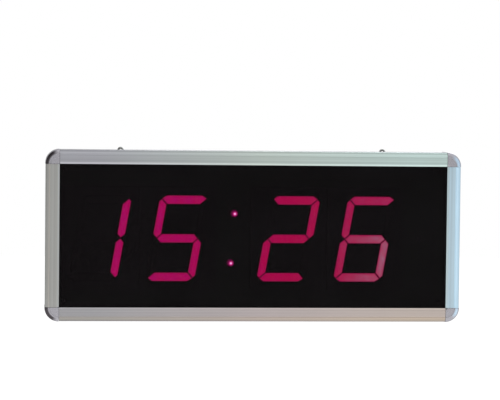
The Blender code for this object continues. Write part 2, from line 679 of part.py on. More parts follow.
def support_mesh(board_back):
    """Nylon support: a pad stuck to the cover, a pillar and a barbed tip through the board."""
    pad = FIT
    pillar = pad + SUPPORT_PAD_THICKNESS
    seat = COVER_FRONT - board_back - FIT
    barb = COVER_FRONT - board_back + BOARD_THICKNESS + FIT
    return turned("support", [(0, pad), (SUPPORT_PAD_RADIUS, pad), (SUPPORT_PAD_RADIUS, pillar),
                              (SUPPORT_RADIUS, pillar), (SUPPORT_RADIUS, seat),
                              (SUPPORT_NECK_RADIUS, seat), (SUPPORT_NECK_RADIUS, barb),
                              (SUPPORT_TIP_RADIUS, barb + FIT),
                              (SUPPORT_NECK_RADIUS / 2, barb + SUPPORT_TIP_LENGTH),
                              (0, barb + SUPPORT_TIP_LENGTH)], 10)


def build_supports(finish):
    """Four supports for each board."""
    groups = (("display_support", display_support_places(), DISPLAY_BOARD_BACK),
              ("control_support", control_support_places(), CONTROL_BOARD_BACK))
    for name, places, board_back in groups:
        mesh = support_mesh(board_back)
        for index, (x, z) in enumerate(places, 1):
            place(f"{name}_{index}", mesh, finish, (x, deep(COVER_FRONT), z), TO_FRONT)


# ---- on the control board -----------------------------------------------------------------------

def key_places():
    """Middles of the set keys."""
    first = KEY_X - (KEY_COUNT - 1) / 2 * KEY_PITCH
    return [(first + index * KEY_PITCH, CONTROL_Z) for index in range(KEY_COUNT)]


def build_keys(switch_finish, cap_finish):
    """Push switches on the board, and caps that reach out through the cover."""
    back = CONTROL_BOARD_BACK + FIT + SWITCH_HEIGHT
    bore = circle((0, 0), KEY_STEM_RADIUS + FIT, 12)
    switch = plate("switch", [rectangle((0, 0), SWITCH_SIDE, SWITCH_SIDE)], CONTROL_BOARD_BACK + FIT, back)
    switch = cut(switch, plate("bore", [bore], back - SWITCH_BORE_DEPTH, back + FIT))
    # Heights of the cap are counted from the cover's inner face, which its flange rests against.
    flange = -FIT - KEY_FLANGE_THICKNESS
    top = COVER_THICKNESS + KEY_RISE
    cap = turned("cap", [(0, flange - KEY_STEM_LENGTH), (KEY_STEM_RADIUS, flange - KEY_STEM_LENGTH),
                         (KEY_STEM_RADIUS, flange), (KEY_FLANGE_RADIUS, flange),
                         (KEY_FLANGE_RADIUS, -FIT), (KEY_RADIUS, -FIT), (KEY_RADIUS, top - EDGE),
                         (KEY_RADIUS - EDGE, top), (0, top)])
    for index, (x, z) in enumerate(key_places(), 1):
        place(f"key_switch_{index}", switch, switch_finish, (x, 0, z))
        place(f"key_cap_{index}", cap, cap_finish, (x, deep(COVER_FRONT), z), TO_WALL)


def build_sounder(finish):
    """Round sounder that stands on the board, behind the holes in the cover."""
    height = CONTROL_BOARD_STANDOFF - 3 * FIT
    mouth = SOUNDER_MOUTH_RADIUS
    sounder = turned("sounder", [(0, 0), (SOUNDER_RADIUS, 0), (SOUNDER_RADIUS, height - EDGE),
                                 (SOUNDER_RADIUS - EDGE, height), (mouth, height),
                                 (mouth, height / 2), (0, height / 2)], 24)
    place("sounder", sounder, finish, (SOUNDER_X, deep(CONTROL_BOARD_BACK + FIT), CONTROL_Z), TO_WALL)


def build_cell(holder_finish, cell_finish):
    """Coin cell that keeps the time, in an open cup on the board's back."""
    inner = CELL_RADIUS + FIT
    outer = inner + HOLDER_WALL
    wall_top = HOLDER_FLOOR + FIT + CELL_THICKNESS + FIT
    holder = turned("holder", [(0, 0), (outer, 0), (outer, wall_top), (inner, wall_top),
                               (inner, HOLDER_FLOOR), (0, HOLDER_FLOOR)], 20)
    at = (CELL_X, deep(CONTROL_BOARD_BACK + FIT), CONTROL_Z)
    place("battery_holder", holder, holder_finish, at, TO_WALL)
    low = HOLDER_FLOOR + FIT
    cell = turned("cell", [(0, low), (CELL_RADIUS - EDGE, low), (CELL_RADIUS, low + EDGE),
                           (CELL_RADIUS, low + CELL_THICKNESS), (0, low + CELL_THICKNESS)], 20)
    place("coin_cell", cell, cell_finish, at, TO_WALL)


def build_ribbon(finish):
    """Flat cable between the boards, with a moulded plug on each end, drawn from the side."""
    front = DISPLAY_BOARD_BACK + FIT
    back = CONTROL_BOARD_FRONT - FIT
    half = RIBBON_THICKNESS / 2
    plug = RIBBON_PLUG_DEPTH
    bend_from = CONTROL_Z + RIBBON_UP - RIBBON_PLUG_HEIGHT / 2
    bend_to = CONTROL_Z + RIBBON_DOWN + RIBBON_PLUG_HEIGHT / 2
    start = front + plug / 2
    end = back - plug / 2
    upper, lower = [], []
    for index in range(RIBBON_STEPS + 1):
        share = index / RIBBON_STEPS
        smooth = share * share * (3 - 2 * share)
        z = bend_from + (bend_to - bend_from) * share
        depth = start + (end - start) * smooth
        upper.append((depth - half, z))
        lower.append((depth + half, z))
    first = [(front, bend_from), (front, bend_from + RIBBON_PLUG_HEIGHT),
             (front + plug, bend_from + RIBBON_PLUG_HEIGHT), (front + plug, bend_from)]
    last = [(back, bend_to), (back, bend_to - RIBBON_PLUG_HEIGHT),
            (back - plug, bend_to - RIBBON_PLUG_HEIGHT), (back - plug, bend_to)]
    outline = first + lower + last + upper[::-1]
    ribbon = extruded("ribbon_cable", [outline], -RIBBON_WIDTH / 2, RIBBON_WIDTH / 2,
                      lambda depth, z, x: (x, deep(depth), z))
    place("ribbon_cable", ribbon, finish)


# ---- supply socket and power rocker -------------------------------------------------------------

def build_jack(body_finish, metal_finish):
    """Supply socket: a flanged barrel through the cover, a nut inside and a centre pin."""
    top = FIT + JACK_FLANGE_THICKNESS
    end = -COVER_THICKNESS - JACK_BARREL_LENGTH
    floor = top - JACK_BORE_DEPTH
    pin_hole = JACK_PIN_RADIUS + FIT
    profile = [(pin_hole, end), (JACK_BARREL_RADIUS, end), (JACK_BARREL_RADIUS, FIT),
               (JACK_FLANGE_RADIUS, FIT), (JACK_FLANGE_RADIUS, top - EDGE),
               (JACK_FLANGE_RADIUS - EDGE, top), (JACK_BORE_RADIUS, top), (JACK_BORE_RADIUS, floor),
               (pin_hole, floor), (pin_hole, end)]
    at = (JACK_X, 0, JACK_Z)
    place("dc_jack", turned("dc_jack", profile), body_finish, at, TO_WALL)
    pin = turned("dc_jack_pin", [(0, end - JACK_TAG), (JACK_PIN_RADIUS, end - JACK_TAG),
                                 (JACK_PIN_RADIUS, FIT - EDGE), (JACK_PIN_RADIUS - EDGE, FIT),
                                 (0, FIT)], 12)
    place("dc_jack_pin", pin, metal_finish, at, TO_WALL)
    hexagon = circle((0, 0), NUT_ACROSS_FLATS / math.sqrt(3), 6)
    nut_back = COVER_FRONT - FIT
    nut = plate("dc_jack_nut", [hexagon], nut_back - NUT_THICKNESS, nut_back)
    bore = plate("bore", [circle((0, 0), JACK_BARREL_RADIUS + FIT, ROUND_SIDES)],
                 nut_back - 2 * NUT_THICKNESS, nut_back + NUT_THICKNESS)
    place("dc_jack_nut", cut(nut, bore), metal_finish, at)


def build_rocker(body_finish, rocker_finish):
    """Power rocker: a moulded body with a bezel, and a rocker on two small pins."""
    back = FRAME_DEPTH + FIT + ROCKER_BEZEL_THICKNESS
    body = plate("rocker_body", [rectangle((0, 0), *ROCKER_BODY)],
                 FRAME_DEPTH - ROCKER_BODY_DEPTH, FRAME_DEPTH + 2 * FIT)
    body = fuse(body, plate("bezel", [rectangle((0, 0), *ROCKER_BEZEL)], FRAME_DEPTH + FIT, back))
    cavity = (ROCKER_BODY[0] - 2 * ROCKER_WALL, ROCKER_BODY[1] - 2 * ROCKER_WALL)
    body = cut(body, plate("cavity", [rectangle((0, 0), *cavity)],
                           FRAME_DEPTH - ROCKER_CAVITY_DEPTH, back + FIT))
    across = ROCKER_BODY[0] / 2 - ROCKER_WALL / 4
    bearing = extruded("bearing", [circle((deep(ROCKER_PIVOT), 0), ROCKER_PIN_RADIUS + FIT, 12)],
                       -across, across, lambda y, z, x: (x, y, z))
    body = cut(body, bearing)
    place("rocker_body", body, body_finish, (ROCKER_X, 0, JACK_Z))

    # Side view as (out, up) points about the pivot: a dished top, straight ends and a round belly.
    half = ROCKER_LENGTH / 2
    end_out = ROCKER_PIVOT_DEPTH + ROCKER_BEZEL_THICKNESS + ROCKER_RISE
    dish = [(end_out - ROCKER_DISH * (1 - share * share), share * half)
            for share in (1, 0.5, 0, -0.5, -1)]
    belly = arc((0, 0), (ROCKER_BELLY, half), 270, 90, 8)
    side_view = dish + belly
    rocker = extruded("power_rocker", [side_view], -ROCKER_WIDTH / 2, ROCKER_WIDTH / 2,
                      lambda y, z, x: (x, y, z))
    pin_reach = ROCKER_BODY[0] / 2 - ROCKER_WALL / 4 - FIT
    pin = extruded("pin", [circle((0, 0), ROCKER_PIN_RADIUS, 12)], -pin_reach, pin_reach,
                   lambda y, z, x: (x, y, z))
    rocker = fuse(rocker, pin)
    place("power_rocker", rocker, rocker_finish, (ROCKER_X, deep(ROCKER_PIVOT), JACK_Z),
          (ROCKER_TILT, 0, 0))


# ---- rear cover, screws and hangers -------------------------------------------------------------

def cover_screw_places():
    """Middles of the six screws that hold only the cover."""
    x = FRAME_WIDTH / 2 - COVER_SCREW_INSET
    z = FRAME_HEIGHT / 2 - COVER_SCREW_INSET
    return [(0, z), (x, 0), (HANGER_X, -z), (0, -z), (-HANGER_X, -z), (-x, 0)]


def hanger_screw_places():
    """Middles of the two screws that hold a hanger strap and the cover."""
    z = FRAME_HEIGHT / 2 - HANGER_SCREW_INSET
    return {"left": (-HANGER_X, z), "right": (HANGER_X, z)}


def build_cover(finish):
    """Sheet cover, pierced for screws, keys, sound, socket, rocker and air."""
    outline = rounded_rectangle((0, 0), FRAME_WIDTH - 2 * COVER_INSET, FRAME_HEIGHT - 2 * COVER_INSET,
                                FACE_WIDTH - COVER_INSET, 6)
    cover = plate("rear_cover", [outline], COVER_FRONT, FRAME_DEPTH)
    holes = [circle(at, SCREW_HOLE_RADIUS, 10)
             for at in cover_screw_places() + list(hanger_screw_places().values())]
    holes += [circle(at, KEY_RADIUS + FIT, ROUND_SIDES) for at in key_places()]
    holes += [circle((JACK_X, JACK_Z), JACK_BARREL_RADIUS + FIT, ROUND_SIDES)]
    holes += [rectangle((ROCKER_X, JACK_Z), ROCKER_BODY[0] + 2 * FIT, ROCKER_BODY[1] + 2 * FIT)]
    sound = [(SOUNDER_X, CONTROL_Z)] + circle((SOUNDER_X, CONTROL_Z), SOUNDER_HOLE_CIRCLE, 6)
    holes += [circle(at, SOUNDER_HOLE_RADIUS, 8) for at in sound]
    for middle in VENT_GROUPS:
        first = middle - (VENT_COUNT - 1) / 2 * VENT_PITCH
        holes += [slot((first + index * VENT_PITCH, VENT_Z), VENT_LENGTH, VENT_RADIUS)
                  for index in range(VENT_COUNT)]
    drill = plate("drill", holes, COVER_FRONT - FIT, FRAME_DEPTH + FIT)
    place("rear_cover", cut(cover, drill), finish)


def screw_mesh(under_head):
    """Pan-head screw along +Z, its head resting this far out of the cover."""
    shank_end = under_head - SCREW_LENGTH
    crown = arc((0, under_head), (SCREW_HEAD_RADIUS, SCREW_HEAD_HEIGHT), SCREW_HEAD_EDGE, 90, 4)
    return turned("screw", [(0, shank_end), (SCREW_RADIUS, shank_end + SCREW_RADIUS / 2),
                            (SCREW_RADIUS, under_head), (SCREW_HEAD_RADIUS, under_head)] + crown, 10)


def build_screws(finish):
    """Six cover screws, and two longer-reaching ones through the hanger straps."""
    plain = screw_mesh(FIT)
    for index, (x, z) in enumerate(cover_screw_places(), 1):
        place(f"cover_screw_{index}", plain, finish, (x, 0, z), TO_WALL)
    raised = screw_mesh(2 * FIT + STRAP_THICKNESS)
    for side, (x, z) in hanger_screw_places().items():
        place(f"hanger_screw_{side}", raised, finish, (x, 0, z), TO_WALL)


def ring_pivot():
    """Y and Z of the wire that a ring turns on."""
    apex_rise = RING_SIDE / 2 * math.sqrt(3) - RING_APEX_RADIUS + RING_WIRE_RADIUS
    return (FIT + STRAP_THICKNESS + RING_WIRE_RADIUS + FIT,
            FRAME_HEIGHT / 2 + RING_ABOVE_FRAME - apex_rise)


def strap_mesh():
    """Steel strap on the cover, rolled over at its top round the ring's wire."""
    pivot_y, pivot_z = ring_pivot()
    screw_z = FRAME_HEIGHT / 2 - HANGER_SCREW_INSET
    foot = screw_z - STRAP_BELOW_SCREW - pivot_z
    outer = STRAP_ROLL_RADIUS
    inner = outer - STRAP_THICKNESS
    # Drawn from the side as (out, up) points about the wire's middle.
    outside = arc((0, 0), (outer, outer), 180, STRAP_ROLL_END, 12)
    inside = arc((0, 0), (inner, inner), STRAP_ROLL_END, 180, 12)
    outline = [(-outer, foot)] + outside + inside + [(-inner, foot)]
    strap = extruded("strap", [outline], -STRAP_WIDTH / 2, STRAP_WIDTH / 2,
                     lambda y, z, x: (x, y + pivot_y, z + pivot_z))
    drill = plate("drill", [circle((0, screw_z), SCREW_HOLE_RADIUS, 10)],
                  FRAME_DEPTH - FIT, FRAME_DEPTH + FIT + STRAP_THICKNESS + FIT)
    return cut(strap, drill)


def ring_path():
    """Middle line of the ring's wire about its pivot: a triangle with round corners."""
    half = RING_SIDE / 2
    apex = half * math.sqrt(3)
    path = []
    corners = ((-half, 0, 30, RING_BEND_RADIUS, 150), (half, 0, 150, RING_BEND_RADIUS, 270),
               (0, apex, 270, RING_APEX_RADIUS, 30))
    for x, z, towards_middle, radius, start in corners:
        reach = radius / math.sin(math.radians(30))
        angle = math.radians(towards_middle)
        centre = (x + reach * math.cos(angle), z + reach * math.sin(angle))
        path += arc(centre, (radius, radius), start, start + 120, 4)
    return path


def build_hangers(strap_finish, ring_finish):
    """Two straps, and the wire rings that swing in them."""
    strap = strap_mesh()
    pivot_y, pivot_z = ring_pivot()
    for side, (x, _) in hanger_screw_places().items():
        place(f"hanger_strap_{side}", strap, strap_finish, (x, 0, 0))
        curve = bpy.data.curves.new(f"hanger_ring_{side}", "CURVE")
        curve.dimensions = "3D"
        curve.bevel_depth = RING_WIRE_RADIUS
        curve.bevel_resolution = 2
        path = ring_path()
        spline = curve.splines.new("POLY")
        spline.points.add(len(path) - 1)
        for point, (path_x, path_z) in zip(spline.points, path):
            point.co = (path_x, 0, path_z, 1)
        spline.use_cyclic_u = True
        curve.materials.append(ring_finish)
        ring = bpy.data.objects.new(f"hanger_ring_{side}", curve)
        ring.location = (x, pivot_y, pivot_z)
        bpy.context.scene.collection.objects.link(ring)


# ---- the timer ----------------------------------------------------------------------------------

def build_timer():
    """Make every piece of the timer."""
    for item in list(bpy.data.objects):
        bpy.data.objects.remove(item, do_unlink=True)
    aluminium = material("anodised_aluminium", (0.40, 0.42, 0.43), 0.34, 0.85)
    casting = material("painted_casting", (0.36, 0.35, 0.39), 0.42, 0.6)
    smoked = material("smoked_acrylic", (0.008, 0.006, 0.008), 0.12)
    housing = material("module_housing", (0.012, 0.010, 0.012), 0.6)
    resin = material("segment_resin", (0.39, 0.0, 0.10), 0.35)
    lamp = material("lamp_resin", (0.75, 0.05, 0.30), 0.2)
    dark_lens = material("eye_resin", (0.01, 0.01, 0.012), 0.2)
    board = material("circuit_board", (0.02, 0.10, 0.035), 0.45)
    nylon = material("nylon", (0.62, 0.62, 0.58), 0.5)
    black = material("black_plastic", (0.015, 0.015, 0.016), 0.45)
    cell = material("cell_steel", (0.60, 0.60, 0.60), 0.3, 1.0)
    cable = material("ribbon_pvc", (0.28, 0.28, 0.29), 0.5)
    sheet = material("powder_coated_sheet", (0.030, 0.030, 0.032), 0.55)
    zinc = material("zinc_plated_steel", (0.56, 0.57, 0.58), 0.32, 1.0)

    build_rails(aluminium)
    build_corners(casting)
    build_panel(smoked)
    build_modules(housing, resin)
    build_colon(lamp)
    build_eye(dark_lens)
    build_display_board(board)
    build_control_board(board)
    build_supports(nylon)
    build_keys(black, black)
    build_sounder(black)
    build_cell(black, cell)
    build_ribbon(cable)
    build_jack(black, zinc)
    build_rocker(black, black)
    build_cover(sheet)
    build_screws(zinc)
    build_hangers(zinc, zinc)


build_timer()
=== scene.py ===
"""Looks of the gym round timer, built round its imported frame.

X is to the right as seen from the front, Y goes into the wall and Z is up, in metres.
"""

import math

import bmesh
import bpy
import numpy as np
from mathutils import Matrix, Vector


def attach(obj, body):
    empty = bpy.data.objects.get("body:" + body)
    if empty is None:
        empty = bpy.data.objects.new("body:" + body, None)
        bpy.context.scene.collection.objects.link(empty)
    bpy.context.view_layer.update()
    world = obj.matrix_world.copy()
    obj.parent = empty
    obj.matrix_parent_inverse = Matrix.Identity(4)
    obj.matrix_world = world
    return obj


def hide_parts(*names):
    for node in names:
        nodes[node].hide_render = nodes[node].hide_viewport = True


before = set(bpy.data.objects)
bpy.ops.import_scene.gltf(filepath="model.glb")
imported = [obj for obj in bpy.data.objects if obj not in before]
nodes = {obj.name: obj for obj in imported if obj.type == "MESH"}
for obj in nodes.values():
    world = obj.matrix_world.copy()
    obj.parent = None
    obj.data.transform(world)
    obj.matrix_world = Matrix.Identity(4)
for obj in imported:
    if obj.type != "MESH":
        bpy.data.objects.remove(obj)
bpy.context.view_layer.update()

# ---- extruded frame rails -----------------------------------------------------------------------
# Four lengths of one aluminium extrusion, sawn square, satin anodised in a silver shade.  Each is
# pushed over the legs of the cast corner pieces.  Its face has a round shoulder, a fine line, a flat
# and a bevelled lip that holds the panel.

FRAME_W, FRAME_H, FRAME_D = 0.4960, 0.2030, 0.0400
FACE_W = 0.0165
SAW_GAP = 0.0003
# The section, as distances in from the outer side and back from the face.
SIDE_GROOVES, SIDE_GROOVE_DEPTH = (0.0270, 0.0150), 0.0004
SIDE_GROOVE_MOUTH, SIDE_GROOVE_FLOOR = 0.00105, 0.0006
SHOULDER_W, SHOULDER_D = 0.0054, 0.0046
LINE_ACROSS = (0.0055, 0.00558, 0.0059, 0.00598, 0.0061, 0.0063)
LINE_DEEP = (0.00005, 0.0003, 0.0003, 0.00005, 0.0, 0.0)
SHOULDER_INSIDE = (0.0030, 0.0028)
LIP_W, LIP_EASE, LIP_SOFT, LIP_EDGE, LIP_BACK = 0.0022, 0.0002, 0.0006, 0.0014, 0.0020
WALL = 0.0013
WEB_W, WEB_FRONT, WEB_BACK = 0.0140, 0.0056, 0.0069
FLANGE_W, FLANGE_FRONT, FLANGE_BACK = 0.0160, 0.0375, 0.0387


def arc_of(centre, radii, start, end, steps):
    """Points on an ellipse: centre plus radii times (cosine, sine) of angles spread evenly."""
    angle = np.radians(np.linspace(start, end, steps))
    return np.stack([centre[0] + radii[0] * np.cos(angle), centre[1] + radii[1] * np.sin(angle)], 1)


def skin_section(proud):
    """Outer skin of the frame as (in, deep) points: rear edge, two side grooves, a shoulder that is
    a quarter of an ellipse, a fine line, the flat, and the lip's bevel.  Proud moves it all out."""
    rows = [[[-proud, FRAME_D]]]
    for middle in SIDE_GROOVES:
        floor = SIDE_GROOVE_DEPTH - proud
        rows.append([[-proud, middle + SIDE_GROOVE_MOUTH], [floor, middle + SIDE_GROOVE_FLOOR],
                     [floor, middle - SIDE_GROOVE_FLOOR], [-proud, middle - SIDE_GROOVE_MOUTH]])
    rows.append(arc_of((SHOULDER_W, SHOULDER_D), (SHOULDER_W + proud, SHOULDER_D + proud), 180, 270, 15))
    rows.append(np.column_stack([LINE_ACROSS, np.array(LINE_DEEP) - proud]))
    lip = FACE_W - LIP_W
    rows.append([[lip - LIP_EASE, -proud], [lip, -proud]])
    rows.append(arc_of((lip, LIP_SOFT), (LIP_SOFT, LIP_SOFT + proud), 275, 315, 4))
    return np.concatenate([np.array(row, float) for row in rows])


def closed_section(proud, inner):
    """The skin closed by the lip's edge, the panel's slot, the web and the flange behind."""
    inside = [[inner, LIP_EDGE - proud], [inner, LIP_BACK],
              [SHOULDER_W, LIP_BACK], SHOULDER_INSIDE, [WALL, SHOULDER_D],
              [WALL, WEB_FRONT], [WEB_W, WEB_FRONT], [WEB_W, WEB_BACK], [WALL, WEB_BACK],
              [WALL, FLANGE_FRONT], [FLANGE_W, FLANGE_FRONT], [FLANGE_W, FLANGE_BACK],
              [WALL, FLANGE_BACK], [WALL, FRAME_D]]
    return np.concatenate([skin_section(proud), np.array(inside)])


def quads_between(index):
    """Faces between neighbouring rings of an array (ring, point) of vertex numbers."""
    near, far = index[:-1], index[1:]
    corners = np.stack([near, np.roll(near, -1, 1), np.roll(far, -1, 1), far], -1)
    return corners.reshape(-1, 4).tolist()


def lofted(name, rings, capped=True, sharp=32):
    """Skin over closed rings given as an array (ring, point, xyz): each point is joined to its
    neighbour in the ring and in the next ring, and the first and last rings are filled."""
    count, around = rings.shape[:2]
    index = np.arange(count * around).reshape(count, around)
    faces = quads_between(index)
    if capped:
        faces += [index[0].tolist(), index[-1].tolist()]
    mesh = bpy.data.meshes.new(name)
    mesh.from_pydata(rings.reshape(-1, 3).tolist(), [], faces)
    return tidied(mesh, sharp)


def tidied(mesh, sharp):
    """Merge doubles, drop faces of no area, turn faces outwards, and shade smooth below an angle."""
    bm = bmesh.new()
    bm.from_mesh(mesh)
    bmesh.ops.remove_doubles(bm, verts=bm.verts, dist=1e-6)
    bmesh.ops.dissolve_degenerate(bm, dist=1e-7, edges=bm.edges)
    bmesh.ops.recalc_face_normals(bm, faces=bm.faces)
    bm.to_mesh(mesh)
    bm.free()
    mesh.shade_smooth()
    mesh.set_sharp_from_angle(angle=math.radians(sharp))
    return mesh


def add_piece(name, mesh, material, body, slot, *stands_for):
    """Put a finished mesh in the scene, on its body, in place of the solids it stands for."""
    piece = bpy.data.objects.new(name, mesh)
    bpy.context.scene.collection.objects.link(piece)
    mesh.materials.clear()
    mesh.materials.append(material)
    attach(piece, body)
    if stands_for:
        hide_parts(*stands_for)


NOISE_LOW, NOISE_HIGH = 0.28, 0.72


def grain_group():
    """Noise with its own number of cycles per metre along X, Y and Z, spread from Low to High."""
    group = bpy.data.node_groups.new("surface grain", "ShaderNodeTree")
    for label, kind, value in (("Cycles", "NodeSocketVector", (500, 500, 500)),
                               ("Detail", "NodeSocketFloat", 3.0),
                               ("Low", "NodeSocketFloat", 0.0), ("High", "NodeSocketFloat", 1.0)):
        socket = group.interface.new_socket(label, in_out="INPUT", socket_type=kind)
        socket.default_value = value
    group.interface.new_socket("Value", in_out="OUTPUT", socket_type="NodeSocketFloat")
    made, join = group.nodes.new, group.links.new
    entry, leave = made("NodeGroupInput"), made("NodeGroupOutput")
    place = made("ShaderNodeTexCoord")
    stretch = made("ShaderNodeVectorMath")
    stretch.operation = "MULTIPLY"
    noise = made("ShaderNodeTexNoise")
    noise.inputs["Scale"].default_value = 1.0
    spread = made("ShaderNodeMapRange")
    spread.inputs["From Min"].default_value = NOISE_LOW
    spread.inputs["From Max"].default_value = NOISE_HIGH
    join(place.outputs["Object"], stretch.inputs[0])
    join(entry.outputs["Cycles"], stretch.inputs[1])
    join(stretch.outputs[0], noise.inputs["Vector"])
    join(entry.outputs["Detail"], noise.inputs["Detail"])
    join(noise.outputs["Fac"], spread.inputs["Value"])
    join(entry.outputs["Low"], spread.inputs["To Min"])
    join(entry.outputs["High"], spread.inputs["To Max"])
    join(spread.outputs["Result"], leave.inputs["Value"])
    return group


GRAIN = grain_group()


def feed(tree, socket, value):
    """Join another node's socket to this one, or write a plain value on it."""
    if hasattr(value, "is_linked"):
        tree.links.new(value, socket)
    else:
        socket.default_value = value


class Finish:
    """A material under construction, with short ways to add grain, colour and relief."""

    def __init__(self, name, roughness=0.5, metallic=0.0):
        self.material = bpy.data.materials.new(name)
        self.material.use_nodes = True
        self.tree = self.material.node_tree
        self.shader = self.tree.nodes["Principled BSDF"]
        self.shader.inputs["Roughness"].default_value = roughness
        self.shader.inputs["Metallic"].default_value = metallic

    def add(self, kind, **values):
        """A new node with some of its settings."""
        node = self.tree.nodes.new(kind)
        for key, value in values.items():
            setattr(node, key, value)
        return node

    def join(self, start, end):
        """Link an output to an input."""
        self.tree.links.new(start, end)

    def grain(self, cycles, low=0.0, high=1.0, detail=3.0):
        """Noise of so many cycles per metre, the same each way or one number per axis."""
        node = self.add("ShaderNodeGroup", node_tree=GRAIN)
        node.inputs["Cycles"].default_value = cycles if hasattr(cycles, "__len__") else (cycles,) * 3
        node.inputs["Detail"].default_value = detail
        node.inputs["Low"].default_value = low
        node.inputs["High"].default_value = high
        return node.outputs["Value"]

    def between(self, share, first, second):
        """Colour between two colours, or sockets, by a share."""
        mix = self.add("ShaderNodeMix", data_type="RGBA")
        self.join(share, mix.inputs["Factor"])
        for socket, value in ((mix.inputs["A"], first), (mix.inputs["B"], second)):
            feed(self.tree, socket, (*value, 1.0) if isinstance(value, tuple) else value)
        return mix.outputs["Result"]

    def combine(self, first, second, operation="MULTIPLY", clamp=False):
        """Product, or another operation, of two numbers or sockets."""
        node = self.add("ShaderNodeMath", operation=operation, use_clamp=clamp)
        feed(self.tree, node.inputs[0], first)
        feed(self.tree, node.inputs[1], second)
        return node.outputs[0]

    def colour(self, socket):
        """Colour that changes over the surface."""
        self.join(socket, self.shader.inputs["Base Color"])

    def roughness(self, socket):
        """Roughness that changes over the surface."""
        self.join(socket, self.shader.inputs["Roughness"])

    def relief(self, height, strength, distance):
        """Small relief: a height of 1 stands out by the distance, in metres."""
        bump = self.add("ShaderNodeBump")
        bump.inputs["Strength"].default_value = strength
        bump.inputs["Distance"].default_value = distance
        self.join(height, bump.inputs["Height"])
        self.join(bump.outputs["Normal"], self.shader.inputs["Normal"])

    def set(self, **values):
        """Values that are the same all over the surface, on the shader's own sockets."""
        for key, value in values.items():
            self.shader.inputs[key.replace("_", " ")].default_value = value


# The rails' silver with painted colour casts of light and reflection, near the left end, at the middle and
# near the right end.
RAIL_TONES_WITH_PAINTED_CASTS = {
    "rail_top": ((0.375, 0.375, 0.405), (0.475, 0.535, 0.500), (0.510, 0.625, 0.595)),
    "rail_bottom": ((0.355, 0.348, 0.360), (0.460, 0.405, 0.400), (0.515, 0.445, 0.405)),
    "rail_left": ((0.378, 0.378, 0.362),) * 3,
    "rail_right": ((0.465, 0.595, 0.670),) * 3,
}
# Painted highlights and shade across each rail: how much paler or darker the colour is made, as (place,
# factor) from the outer side (0) to the lip (1).
RAIL_PAINTED_LIGHT_BANDS = {
    "rail_top": ((0.0, 0.70), (0.09, 0.76), (0.19, 1.25), (0.28, 1.25), (0.36, 1.0), (0.60, 1.06),
                 (0.82, 1.0), (0.93, 1.22)),
    "rail_bottom": ((0.0, 0.85), (0.14, (0.80, 0.78, 0.70)), (0.30, (1.05, 1.0, 0.90)), (0.42, 1.10),
                    (0.65, 1.0), (0.84, 1.02), (0.93, 1.2)),
    "rail_left": ((0.0, 0.97), (0.20, 1.0), (0.27, (1.22, 1.15, 1.10)), (0.36, 1.05), (0.65, 1.0),
                  (0.84, 1.0), (0.94, 1.2)),
    "rail_right": ((0.0, 1.0), (0.14, (1.04, 1.08, 1.10)), (0.24, (1.25, 1.29, 1.33)),
                   (0.37, (1.34, 1.40, 1.45)), (0.45, 1.02), (0.84, 1.0), (0.92, (1.20, 1.15, 1.08))),
}
BAND_TOP = 1.5
SIDE_SHADE, SIDE_FROM, SIDE_TO = (0.50, 0.51, 0.52), 0.0045, 0.0100
FINE_LINES, STREAKS = 2600.0, 420.0


def ramp(finish, place, stops):
    """Colour ramp over a place from 0 to 1, given as (position, colour or grey) stops."""
    node = finish.add("ShaderNodeValToRGB")
    elements = node.color_ramp.elements
    while len(elements) < len(stops):
        elements.new(0.5)
    for element, (position, colour) in zip(elements, stops):
        element.position = position
        element.color = (*colour, 1) if hasattr(colour, "__len__") else (colour, colour, colour, 1)
    finish.join(place, node.inputs["Fac"])
    return node.outputs["Color"]


def place_along(finish, axis, start, end):
    """How far a point lies between two places on an axis, from 0 to 1."""
    coordinates = finish.add("ShaderNodeTexCoord")
    parts = finish.add("ShaderNodeSeparateXYZ")
    finish.join(coordinates.outputs["Object"], parts.inputs[0])
    share = finish.add("ShaderNodeMapRange")
    share.inputs["From Min"].default_value = start
    share.inputs["From Max"].default_value = end
    finish.join(parts.outputs[axis], share.inputs["Value"])
    return share.outputs["Result"]


def anodised(name, along, sign):
    """Satin anodised aluminium: silver with painted colour casts along the rail and painted bands of
    highlight and shade across it, fine drawn lines, broader streaks a few millimetres apart, and soft
    stains.  Behind the shoulder the side is plain silver."""
    finish = Finish(f"{name} anodised", metallic=0.92)
    finish.set(Specular_Tint=(0.38, 0.38, 0.40, 1))
    level = along == "X"
    first, middle, last = RAIL_TONES_WITH_PAINTED_CASTS[name]
    # Silver with painted colour casts of light and reflection, changing along the rail.
    tint = ramp(finish, place_along(finish, "X", -FRAME_W / 2, FRAME_W / 2),
                ((0.12, first), (0.52, middle), (0.88, last)))
    behind = place_along(finish, "Y", SIDE_FROM - FRAME_D, SIDE_TO - FRAME_D)
    tint = finish.between(behind, tint, SIDE_SHADE)
    side = sign * (FRAME_H if level else FRAME_W) / 2
    # Painted highlights and shade in bands across the rail's face.
    bands = [(place, tuple(np.broadcast_to(value, 3) / BAND_TOP)) for place, value in RAIL_PAINTED_LIGHT_BANDS[name]]
    band = ramp(finish, place_along(finish, "Z" if level else "X", side, side - sign * FACE_W), bands)
    shaded = finish.add("ShaderNodeVectorMath", operation="MULTIPLY")
    finish.join(tint, shaded.inputs[0])
    finish.join(band, shaded.inputs[1])
    lines = (3.0, FINE_LINES, FINE_LINES) if level else (FINE_LINES, FINE_LINES, 3.0)
    streaks = (1.2, 0.0, STREAKS) if level else (STREAKS, 0.0, 1.2)
    fine = finish.grain(lines, 0.0, 1.0, 2.0)
    streak = finish.grain(streaks, 0.91 * BAND_TOP, 1.08 * BAND_TOP, 1.0)
    stain = finish.grain((9.0, 60.0, 9.0), 0.96, 1.03, 4.0)
    shade = finish.combine(finish.combine(streak, stain), finish.grain(lines, 0.96, 1.04, 2.0))
    scaled = finish.add("ShaderNodeVectorMath", operation="SCALE")
    finish.join(shaded.outputs[0], scaled.inputs[0])
    finish.join(shade, scaled.inputs["Scale"])
    finish.colour(scaled.outputs[0])
    finish.roughness(finish.grain(lines, 0.28, 0.40, 2.0))
    finish.relief(fine, 0.16, 0.00008)
    return finish.material


